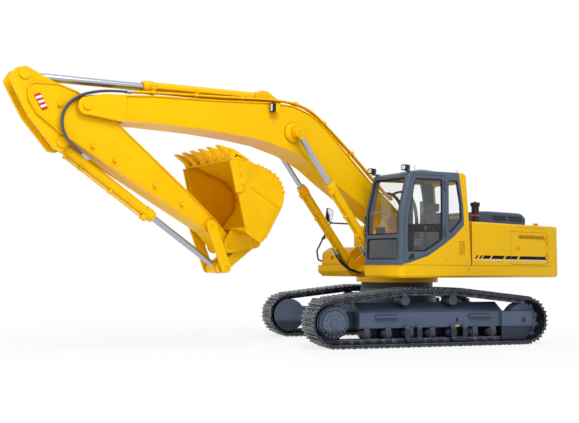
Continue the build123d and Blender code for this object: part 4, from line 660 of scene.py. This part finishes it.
treads = group("step_pads", "house", pad_grip, "black_plastic")
for (x0, y0, x1, y1), z in (((-0.14, -1.34, 0.5, -0.62), 1.812), ((-0.94, -1.38, -0.66, -0.62), 2.298),
                            ((-0.5, -1.38, -0.24, -0.62), 2.298)):
    box(treads, at(x0, y0, z), at(x1, y1, z + 0.004), 0.0015)
caps = group("counterweight_plugs", "house", rubber)
for y in (0.7, -0.7):
    lathe(caps, at(-3.4, y, 1.9), (-1, 0, 0), [(0, -0.02), (0.035, -0.02), (0.035, -0.0005), (0.02, -0.0005),
                                               (0, -0.004)], 24)
lights = group("rear_reflectors", "house", red, "black_plastic")
for y in (1.1, -1.1):
    box(lights, at(-3.4, y - 0.05, 1.45), at(-3.3985, y + 0.05, 1.49), 0)

# ------------------------------------------------------------ cab
# front of the cab from the floor up, (x, z)
CAB_FACE = [(1.375, 1.453), (1.35, 2.38), (1.14, 3.1), (0.9, 3.14)]


def face_x(z):
    """How far forward the cab's front lies at a height."""
    for (x0, z0), (x1, z1) in zip(CAB_FACE, CAB_FACE[1:]):
        if z <= z1:
            return x0 + (x1 - x0) * (z - z0) / (z1 - z0)
    return CAB_FACE[-1][0]


door_rubber = group("door_window_rubber", "cab_door", rubber)
window = rounded_loop([(1.01, 2.995), (0.285, 3.025), (0.29, 1.915), (0.745, 1.692), (1.21, 1.68), (1.195, 2.25)],
                      [0.07, 0.05, 0.06, 0.08, 0.05, 0.4], 8)
band(door_rubber, window, 0.028, lambda p: at(p.x, GLASS_Y, p.y), (0, 0.01, 0))
bar = [(1.15, 2.17), (0.345, 2.205), (0.345, 2.058), (1.16, 2.03)]
plate(door_rubber, GLASS_Y, bar, 0.012, 0.003)
plate(door_rubber, GLASS_Y, ((1.19, 1.7), (1.06, 1.703), (1.035, 1.8), (1.035, 2.04), (1.188, 2.05)), 0.006, 0.002)
plate(door_rubber, GLASS_Y, ((0.35, 1.905), (0.3, 1.935), (0.3, 2.07), (0.345, 2.07)), 0.007, 0.002)
low_pane = rounded_loop([(1.205, 1.54), (1.045, 1.562), (1.045, 1.64), (1.085, 1.655), (1.15, 1.63)], 0.012, 3)
plate(door_rubber, SIDE_Y, low_pane, 0.0025, 0)
handle = group("cab_door_latch", "cab_door", bolt_steel, "dark_steel")
lathe(handle, at(0.741, 1.442, 2.118), LEFT, [(0, 0), (0.036, 0), (0.036, 0.004), (0.028, 0.006), (0.028, 0.002),
                                              (0.012, 0.002), (0.012, 0.007), (0, 0.007)], 28)
lathe(handle, at(0.56, 1.442, 2.118), LEFT, disc(0.012, 0.006), 18)
BEND_Z = CAB_FACE[1][1]         # the front pane bends here
side_rubber = group("quarter_window_rubber", "house", rubber)
quarter = rounded_loop([(0.125, 3.01), (-0.13, 3.03), (-0.225, 2.6), (-0.25, 2.29), (0.06, 2.045), (0.13, 2.065)],
                       0.03, 5)
band(side_rubber, quarter, 0.024, lambda p: at(p.x, GLASS_Y, p.y), (0, 0.008, 0))
for z0, z1 in ((1.545, 1.925), (1.985, 3.005)):
    corner = rounded_loop(corners(0.59, 1.365, z0, z1), 0.05, 5)
    loop = []
    for i, p in enumerate(corner):
        q = corner[i - 1]
        if (q.y - BEND_Z) * (p.y - BEND_Z) < 0:
            loop.append(q.lerp(p, (BEND_Z - q.y) / (p.y - q.y)))
        loop.append(p)
    band(side_rubber, loop, 0.026, lambda p: at(face_x(p.y) - 0.019, p.x, p.y), (0.009, 0, 0))

lamp_frames = group("lamp_frames", "house", rubber)
lamp_lenses = group("lamp_lenses", "house", lens, "glass")
for x, y in ((1.175, 1.38), (1.245, 0.6)):
    loop = rounded_loop(corners(y - 0.057, y + 0.057, 3.123, 3.2185), 0.012, 3)
    band(lamp_frames, loop, 0.013, lambda p: at(x - 0.02, p.x, p.y), (0.08, 0, 0))
    flat = rounded_loop(corners(y - 0.043, y + 0.043, 3.137, 3.204), 0.01, 3)
    slab(lamp_lenses, [at(x + 0.0552, p.x, p.y) for p in flat], (0.003, 0, 0))
boom_frame = group("boom_lamp_frame", "boom", rubber)
boom_lens = group("boom_lamp_lens", "boom", lens, "glass")
loop = rounded_loop(corners(0.303, 0.387, 4.048, 4.202), 0.012, 3)
band(boom_frame, loop, 0.012, lambda p: at(3.3, p.x, p.y), (0.066, 0, 0))
flat = rounded_loop(corners(0.316, 0.374, 4.062, 4.188), 0.01, 3)
slab(boom_lens, [at(3.3602, p.x, p.y) for p in flat], (0.003, 0, 0))

WIPER_Z = 2.715
pipes("wiper_arm", "house", rubber, [([at(face_x(WIPER_Z) + 0.004, 1.385, WIPER_Z),
                                                        at(face_x(WIPER_Z) + 0.014, 1.3, WIPER_Z + 0.004),
                                                        at(face_x(WIPER_Z) + 0.012, 1.17, WIPER_Z + 0.012)], 0.006),
                                                      ([at(face_x(2.73), 1.2, 2.73),
                                                        at(face_x(2.72) + 0.002, 1.1, 2.722),
                                                        at(face_x(2.74), 1.00, 2.716)], 0.005),
                                                      ([at(face_x(2.05) + 0.01, 0.545, 2.05),
                                                        at(face_x(2.15) + 0.03, 0.54, 2.15),
                                                        at(face_x(2.35) + 0.012, 0.545, 2.34)], 0.01)])
pipes("antenna", "house", rubber, [
    ([at(0.86, 1.3, 3.135), at(0.858, 1.3, 3.19), at(0.85, 1.3, 3.24)], 0.004),
    ([at(-0.3, 1.3, 3.165), at(-0.302, 1.3, 3.2), at(-0.305, 1.3, 3.25)], 0.005)])

# ------------------------------------------------------------ operator's seat and controls
MID = 0.985             # middle of the seat across the cab


def cushion(name, lo, hi, crown, lean=0.0, waist=0.02, seams=()):
    """Stuffed block: crowned faces, sides pulled in between the corners, sewn channels across its faces."""
    bm = bmesh.new()
    bmesh.ops.create_cube(bm, size=2.0)
    bmesh.ops.subdivide_edges(bm, edges=bm.edges[:], cuts=11, use_grid_fill=True)
    size = (Vector(hi) - Vector(lo)) / 2
    mid = (Vector(hi) + Vector(lo)) / 2
    for v in bm.verts:
        q = v.co.copy()
        corner = max(0.0, abs(q.x) + abs(q.y) + abs(q.z) - 2.0)
        s = Vector((q.x * size.x, q.y * size.y, q.z * size.z))
        thin = min(range(3), key=lambda k: size[k])
        flat = [1 - c ** 2 for c in q]
        flat.pop(thin)
        s[thin] += math.copysign(crown * flat[0] ** 0.5 * flat[1] ** 0.5, q[thin]) if abs(q[thin]) > 0.99 else 0
        s *= 1 - 0.05 * corner
        for k in range(3):
            if k != thin and abs(q[k]) > 0.99:
                other = [j for j in range(3) if j not in (k, thin)][0]
                s[k] -= math.copysign(waist * (1 - q[other] ** 2) * (1 - q[thin] ** 2) * 0.6, q[k])
        for place in seams:
            if abs(q[thin]) > 0.99 and abs(q.y - place) < 0.1:
                s[thin] -= math.copysign(0.012, q[thin])
        s.x -= lean * (s.z + size.z)
        v.co = mid + s
    mesh = bpy.data.meshes.new(name)
    bm.to_mesh(mesh)
    bm.free()
    for f in mesh.polygons:
        f.use_smooth = True
    mesh.materials.append(seat_cloth)
    obj = add(name, mesh)
    sub = obj.modifiers.new("smooth", "SUBSURF")
    sub.levels = sub.render_levels = 1
    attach(obj, "house")
    return obj


base_cushion = cushion("seat_cushion", at(0.075, MID - 0.235, 1.815), at(0.555, MID + 0.235, 1.925), 0.012, 0.0, 0.02,
                       (-0.55, 0.55))
cushion("seat_backrest", at(0.055, MID - 0.225, 1.945), at(0.175, MID + 0.225, 2.44), 0.012, 0.13, 0.03, (-0.5, 0.5))
cushion("seat_headrest", at(-0.005, MID - 0.13, 2.455), at(0.085, MID + 0.13, 2.61), 0.01, 0.1, 0.015)
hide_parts("operator_seat")
seat_base = group("seat_base", "house", black, "black_plastic")
box(seat_base, at(0.09, MID - 0.21, 1.775), at(0.52, MID + 0.21, 1.812), 0.01)
box(seat_base, at(0.16, MID - 0.17, 1.74), at(0.42, MID + 0.17, 1.775), 0.006)
for k in range(5):
    box(seat_base, at(0.165 + 0.002 * (k % 2), MID - 0.098, 1.545 + 0.039 * k),
        at(0.415 - 0.002 * (k % 2), MID + 0.098, 1.58 + 0.039 * k), 0.008)
box(seat_base, at(0.15, MID - 0.11, 1.505), at(0.44, MID + 0.11, 1.545), 0.006)
posts = group("headrest_posts", "house", ferrule)
for y in (-0.06, 0.06):
    lathe(posts, at(0.015, MID + y, 2.4), (0, 0, 1), disc(0.006, 0.08), 12)
levers = group("levers", "house", black, "black_plastic")
for y in (MID - 0.33, MID + 0.33):
    lathe(levers, at(0.585, y, 2.085), (0.1, 0, 1), [(0, 0), (0.04, 0), (0.036, 0.015), (0.03, 0.02), (0.032, 0.03),
                                                     (0.024, 0.038), (0.025, 0.048), (0.01, 0.058), (0.009, 0.1),
                                                     (0.018, 0.115), (0.021, 0.16), (0.018, 0.2), (0.01, 0.212),
                                                     (0, 0.214)], 18)
    box(levers, at(0.18, y - 0.04, 2.15), at(0.47, y + 0.04, 2.185), 0.012)
    box(levers, at(0.28, y - 0.015, 2.088), at(0.32, y + 0.015, 2.15), 0.004)
for y in (MID - 0.09, MID + 0.09):
    lathe(levers, at(0.985, y, 1.505), (0.12, 0, 1), [(0, 0), (0.03, 0), (0.024, 0.03), (0.009, 0.05), (0.009, 0.42),
                                                      (0.017, 0.43), (0.017, 0.53), (0, 0.54)], 14)
    box(levers, at(0.92, y - 0.05, 1.515), at(1.1, y + 0.05, 1.53), 0.004)
box(levers, at(1.1, 0.585, 1.98), at(1.14, 0.8, 2.14), 0.01)
box(levers, at(1.13, 0.63, 1.93), at(1.16, 0.67, 2.00), 0.004)
lining = group("cab_lining", "house", trim_grey, "black_plastic")
plate(lining, 0.572, ((-0.43, 1.51), (1.27, 1.51), (1.262, 1.93), (0.27, 1.95), (0.27, 3.04), (0.15, 3.04),
                      (0.15, 2.05), (0.05, 2.02), (-0.27, 2.27), (-0.39, 2.34)), 0.005)
for y in (0.572, 1.393):
    plate(lining, y, ((-0.272, 2.275), (-0.245, 2.6), (-0.15, 3.045), (-0.335, 3.055), (-0.38, 2.6), (-0.395, 2.345)),
          0.005)
for y0, y1 in ((0.582, 0.648), (1.322, 1.388)):
    slab(lining, [at(-0.404, y0, 2.345), at(-0.404, y1, 2.345), at(-0.342, y1, 3.065), at(-0.342, y0, 3.065)],
         (0.005, 0, 0))
plate(lining, 1.393, ((-0.43, 1.51), (0.13, 1.51), (0.13, 2.03), (0.05, 2.02), (-0.27, 2.27), (-0.39, 2.34)), 0.005)
slab(lining, [at(-0.455, 0.582, 1.51), at(-0.455, 1.388, 1.51), at(-0.404, 1.388, 2.34), at(-0.404, 0.582, 2.34)],
     (0.005, 0, 0))
slab(lining, [at(-0.31, 0.582, 3.072), at(-0.31, 1.388, 3.072), at(0.92, 1.388, 3.05), at(0.92, 0.582, 3.05)],
     (0, 0, 0.005))
floor_mat = group("cab_floor_mat", "house", mat_black, "black_plastic")
box(floor_mat, at(0.66, 0.6, 1.5035), at(1.26, 1.37, 1.512), 0.003)

# ------------------------------------------------------------ boom pipes and hoses
PIPE_ROWS = (0.235, 0.185, -0.185, -0.235)      # two pipes on each side of the boom's back
top_run = [(0.43, 2.765), (0.68, 2.945), (0.903, 3.115), (1.302, 3.44), (1.689, 3.728), (1.978, 3.932), (2.33, 4.175),
           (2.6, 4.265), (2.9, 4.3), (3.38, 4.282), (4.37, 4.178), (5.5, 4.086), (5.9, 4.04)]
runs = [([at(x, y, z) for x, z in top_run], 0.019) for y in PIPE_ROWS]
pipes("boom_pipes", "boom", paint, runs)
clamps = group("boom_pipe_clamps", "boom", paint)
nuts = group("boom_pipe_nuts", "boom", paint)
for (x, z), lean, drop in (((0.76, 3.004), 0.66, 0.115), ((1.42, 3.53), 0.64, 0.12), ((2.1, 4.016), 0.6, 0.11),
                           ((2.76, 4.285), 0.09, 0.075), ((3.9, 4.228), -0.09, 0.065), ((4.8, 4.144), -0.081, 0.065),
                           ((5.56, 4.08), -0.09, 0.065)):
    along = Vector((math.cos(lean), 0, math.sin(lean)))
    up_way = Vector((-math.sin(lean), 0, math.cos(lean)))
    for y in (0.21, -0.21):
        c = at(x, y, z)
        for a, b, w in ((-0.024, 0.028, 0.062), (-drop, -0.022, 0.02)):
            slab(clamps, [c + along * da + Vector((0, dy, 0)) + up_way * a for da, dy in
                          ((-0.028, -w), (0.028, -w), (0.028, w), (-0.028, w))], up_way * (b - a), 0.004)
        bolt(nuts, c + up_way * 0.028, up_way, 0.011, 0.01)

steel_ends = group("boom_tip_ferrules", "boom", ferrule)
hose_ends = group("arm_ferrules", "arm", ferrule)
FERRULE = [(0, 0), (0.022, 0), (0.022, 0.02), (0.028, 0.022), (0.028, 0.045), (0.024, 0.05), (0.024, 0.11), (0, 0.11)]
for y in PIPE_ROWS:
    lathe(steel_ends, at(5.89, y, 4.041), (1, 0, -0.1), FERRULE, 16)
arcs = []
for y, end_y, k in ((0.235, 0.262, 0), (0.185, 0.225, 1), (-0.185, -0.225, 1), (-0.235, -0.262, 0)):
    w = 0.035 * k
    arcs.append([at(5.99, y, 4.03), at(6.2, y, 4.015), at(6.46 - w, y * 1.02, 3.975), at(6.76 - w, y * 1.06, 3.87),
                 at(6.98 - w, end_y, 3.66), at(7.02 - w, end_y, 3.42), at(6.95 - w, end_y, 3.23),
                 at(6.8 - w, end_y, 3.085), at(6.655 - w, end_y, 2.985)])
for i, points in enumerate(arcs):
    hose = pipes(f"arm_hose_{i + 1}", None, hose_grey, [(points, 0.0145)])
    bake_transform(hose)
    lathe(hose_ends, Vector(points[-1]) + Vector((-0.055, 0, -0.042)), (0.79, 0, 0.61), FERRULE, 16)
foot_runs = []
for y in PIPE_ROWS:
    foot_runs.append(([at(-0.36, y * 0.8, 1.5), at(-0.4, y * 0.8, 1.95), at(-0.4, y * 0.85, 2.42),
                       at(-0.28, y * 0.9, 2.78), at(-0.02, y, 2.92), at(0.22, y, 2.88), at(0.445, y, 2.775)], 0.02))
for i, (points, r) in enumerate(foot_runs):
    hose = pipes(f"boom_foot_hose_{i + 1}", None, rubber, [(points, r)])
    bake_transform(hose)
foot_ends = group("boom_foot_ferrules", "boom", ferrule)
for y in PIPE_ROWS:
    lathe(foot_ends, at(0.36, y, 2.725), (0.79, 0, 0.6), FERRULE, 16)


# ------------------------------------------------------------ cylinder pipes
def pipe_set(name, body, base, pin, y, out, top, foot, dy, lateral=False):
    """Port block near the gland, the pipe down the barrel with its clips, and its elbow.

    The pipe lies out metres from the cylinder's middle, below it or, where lateral, beside it."""
    way = Vector((pin[0] - base[0], 0, pin[1] - base[1])).normalized()
    side, cross = Vector((way.z, 0, -way.x)), Vector((0, 1, 0))
    if lateral:
        side, cross = cross, side
    side = side * (1 if out > 0 else -1)

    def p(s, k=1.0, across=0.0):
        return at(base[0], y, base[1]) + way * s + side * k * abs(out) + cross * across

    pipes(f"{name}_pipe", body, paint, [([p(top, 0.8, dy), p(top - 0.015, 1.05, dy),
                                                          p(top - 0.09, 1.06, dy), p(top - 0.35, 1.04, dy),
                                                          p(foot + 0.3, 1.04, dy), p(foot, 1.04, dy)], 0.016)])
    bits = group(f"{name}_port", body, paint)
    for s in (top, foot + 0.02, (top + foot) / 2 + 0.1, foot + 0.3):
        c = p(s, 0.86, dy)
        w, d = (0.045, 0.04) if s == top else (0.02, 0.03)
        slab(bits, [c + way * a + cross * b - side * 0.035 for a, b in ((-w, -d), (w, -d), (w, d), (-w, d))],
             side * 0.075, 0.004)
    nuts_bm = group(f"{name}_port_bolts", body, paint)
    c = p(top, 0.86, dy) + side * 0.04
    for a in (-0.028, 0.028):
        for b in (-0.024, 0.024):
            bolt(nuts_bm, c + way * a + cross * b, side, 0.008, 0.008)
    return p, way, side


for name, hand in (("left", 1), ("right", -1)):
    p, way, side = pipe_set(f"boom_cylinder_{name}", "boom_cylinder_barrel", *BOOM_CYL, hand * 0.405, 0.118, 1.745,
                            0.46, 0.035)
    ends = group(f"boom_cylinder_ferrules_{name}", "boom_cylinder_barrel", ferrule)
    for dy in (0.035, -0.045):
        lathe(ends, p(0.47, 1.04, dy), -way, FERRULE, 16)
    lathe(ends, p(0.47, 1.04, -0.045), way, disc(0.02, 0.05), 16)
    for k, dy in enumerate((0.035, -0.045)):
        points = [p(0.37, 1.04, dy), p(0.24, 1.06, dy), p(0.08, 1.04, dy * 0.6), at(0.87, hand * 0.3 + dy, 1.325),
                  at(0.7, hand * 0.26 + dy, 1.3)]
        hose = pipes(f"boom_cylinder_hose_{name}_{k + 1}", None, rubber, [(points, 0.019)])
        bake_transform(hose)
pipe_set("arm_cylinder", "arm_cylinder_barrel", *ARM_CYL, 0, 0.125, 2.1, 0.32, 0.02, lateral=True)
pipe_set("bucket_cylinder", "bucket_cylinder_barrel", *BUCKET_CYL, 0, -0.115, 1.7, 0.16, 0.03)

# ------------------------------------------------------------ arm, linkage and bucket details
strip_red = group("arm_reflector_red", "arm", red, "black_plastic")
strip_white = group("arm_reflector_white", "arm", white, "yellow_paint")
BARS = 7                        # red and white by turns
corner = [Vector(c) for c in ((7.385, 3.79), (7.3, 3.826), (7.185, 3.622), (7.262, 3.584))]
for hand in (1, -1):
    for k in range(BARS):
        a, c = (corner[0].lerp(corner[3], f / BARS) for f in (k, k + 1))
        b, d = (corner[1].lerp(corner[2], f / BARS) for f in (k, k + 1))
        slab(strip_red if k % 2 == 0 else strip_white, [at(v.x, hand * 0.2001, v.y) for v in (a, b, d, c)],
             (0, hand * 0.0012, 0))


def keeper(bm, nuts_bm, x, y, z, hand, r=0.05, turn=0.0):
    """Pin end with its grease nipple and a locking bolt."""
    lathe(bm, at(x, y, z), (0, hand, 0), [(0, 0), (r, 0), (r, 0.006), (r - 0.008, 0.009), (0.012, 0.009),
                                          (0.012, 0.004), (0, 0.004)], 28)
    bolt(nuts_bm, at(x + (r * 0.62) * math.cos(turn), y + hand * 0.009, z + (r * 0.62) * math.sin(turn)),
         (0, hand, 0), 0.009, 0.008)
    lathe(nuts_bm, at(x, y + hand * 0.004, z), (0, hand, 0), [(0, 0), (0.006, 0), (0.006, 0.004), (0.003, 0.009),
                                                              (0, 0.009)], 10)


PIN_ENDS = (                    # name, body, then x, y, z, radius and bolt angle of each pin
    ("arm_pin", "arm", [(4.495, 0.302, 2.06, 0.042, 0.8)]),
    ("link_pin", "bucket_link", [(3.612, 0.27, 1.816, 0.04, 1.2), (4.213, 0.302, 1.382, 0.04, 2.0)]),
    ("bucket_pin", "bucket", [(4.119, 0.27, 1.749, 0.04, 0.4)]),
    ("boom_rod_pin", "boom_cylinder_rod", [(2.842, 0.466, 3.75, 0.052, 0.9)]))
for name, body, ends in PIN_ENDS:
    caps = group(f"{name}_caps", body, paint)
    nuts = group(f"{name}_nuts", body, paint)
    for hand in (1, -1):
        for x, y, z, r, turn in ends:
            keeper(caps, nuts, x, hand * y, z, hand, r, turn)

cut = group("side_cutter_bolts", "bucket", paint)
for hand in (1, -1):
    for x, z in ((4.267, 3.009), (4.242, 2.851), (4.206, 2.701)):
        bolt(cut, at(x, hand * 0.745, z), (0, hand, 0), 0.017, 0.014)
tooth_pins = group("tooth_pins", "bucket", paint)
TEETH, TEETH_SPAN = 6, 1.31
for i in range(TEETH):
    y = -TEETH_SPAN / 2 + TEETH_SPAN * i / (TEETH - 1)
    for hand in (1, -1):
        lathe(tooth_pins, at(4.4, y + hand * 0.048, 3.19), (0, hand, 0),
              [(0, 0), (0.014, 0), (0.014, 0.004), (0.008, 0.005), (0, 0.005)], 12)


# ------------------------------------------------------------ the groups become pieces
def finish_groups():
    """Turn each group into an object: smooth but for edges sharper than 32 degrees."""
    for name, body, finish, slot, bm in groups:
        if not bm.faces:
            bm.free()
            continue
        bmesh.ops.recalc_face_normals(bm, faces=bm.faces[:])
        for f in bm.faces:
            f.smooth = True
        for e in bm.edges:
            if len(e.link_faces) != 2 or e.calc_face_angle(0) > math.radians(32):
                e.smooth = False
        mesh = bpy.data.meshes.new(name)
        bm.to_mesh(mesh)
        bm.free()
        mesh.materials.append(finish)
        obj = add(name, mesh)
        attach(obj, body)


finish_groups()

# ------------------------------------------------------------ camera, light, floor
SENSOR = 36                     # millimetres
FOCAL = 766.278 / 579           # focal length over the sensor's width
EYE = Vector((SX + 11.018, 10.775, 1.373))
YAW, PITCH, ROLL = math.radians(232.326), math.radians(4.269), math.radians(0.329)
aim = Vector((math.cos(YAW) * math.cos(PITCH), math.sin(YAW) * math.cos(PITCH), math.sin(PITCH)))
right = aim.cross(Vector((0, 0, 1))).normalized()
up = right.cross(aim)
cam_x = right * math.cos(ROLL) + up * math.sin(ROLL)
cam_y = up * math.cos(ROLL) - right * math.sin(ROLL)
cam = add("camera", bpy.data.cameras.new("camera"))
turn = Matrix((cam_x, cam_y, -aim)).transposed().to_4x4()
cam.matrix_world = Matrix.Translation(EYE) @ turn
cam.data.sensor_width = SENSOR
cam.data.lens = FOCAL * SENSOR
cam.data.clip_end = 300
bpy.context.scene.camera = cam


def direct_rays(tree):
    """1 for camera, glossy and transmission rays, which see the white background, and 0 for the light."""
    rays = node(tree, "LightPath")
    either = node(tree, "Math", operation="MAXIMUM")
    any_of_three = node(tree, "Math", operation="MAXIMUM")
    links(tree, (rays.outputs["Is Camera Ray"], either.inputs[0]), (rays.outputs["Is Glossy Ray"], either.inputs[1]),
          (either.outputs[0], any_of_three.inputs[0]),
          (rays.outputs["Is Transmission Ray"], any_of_three.inputs[1]))
    return any_of_three.outputs[0]


def lamp(name, spot, target, size, power, colour=(1, 1, 1)):
    data = bpy.data.lights.new(name, "AREA")
    data.shape = "DISK"
    data.size = size
    data.energy = power
    data.color = colour
    o = add(name, data)
    o.location = spot
    o.rotation_euler = (Vector(target) - Vector(spot)).to_track_quat("-Z", "Y").to_euler()


lamp("key", (4, 9, 12), (0, 0, 1.5), 8, 1150, (1, 0.98, 0.95))
lamp("fill", (12, 2, 6), (0, 0, 2), 10, 380)
lamp("rim", (-9, -6, 9), (0, 0, 2), 8, 450)

world = bpy.data.worlds.new("world")
bpy.context.scene.world = world
world.use_nodes = True
wt = world.node_tree
bg = wt.nodes["Background"]
strength = node(wt, "MapRange", i_1=0.0, i_2=1.0, i_3=0.46, i_4=1.0)
bg.inputs["Color"].default_value = (1, 1, 1, 1)
links(wt, (direct_rays(wt), strength.inputs[0]), (strength.outputs[0], bg.inputs["Strength"]))

floor_mesh = bpy.data.meshes.new("floor")
FLOOR = 60                      # half its side
floor_mesh.from_pydata([(-FLOOR, -FLOOR, 0), (FLOOR, -FLOOR, 0), (FLOOR, FLOOR, 0), (-FLOOR, FLOOR, 0)], [],
                       [(0, 1, 2, 3)])
floor = add("floor", floor_mesh)
fm, ft, diffuse = new_material("floor_white")
diffuse.inputs["Base Color"].default_value = (0.92, 0.92, 0.92, 1)
diffuse.inputs["Roughness"].default_value = 0.9
white_out = node(ft, "Emission", Color=(1, 1, 1, 1), Strength=1.0)
where = node(ft, "TexCoord")
away = node(ft, "VectorMath", operation="LENGTH")
fade = node(ft, "MapRange", i_1=3.0, i_2=9.0, i_3=0.8, i_4=1.0)       # the shadow shows near the machine
share = node(ft, "Math", operation="MULTIPLY")
f_mix = node(ft, "MixShader")
links(ft, (where.outputs["Object"], away.inputs[0]), (away.outputs["Value"], fade.inputs[0]),
      (direct_rays(ft), share.inputs[0]), (fade.outputs[0], share.inputs[1]), (share.outputs[0], f_mix.inputs[0]),
      (diffuse.outputs[0], f_mix.inputs[1]), (white_out.outputs[0], f_mix.inputs[2]),
      (f_mix.outputs[0], ft.nodes["Material Output"].inputs["Surface"]))
floor_mesh.materials.append(fm)
bpy.context.scene.view_settings.view_transform = "Standard"
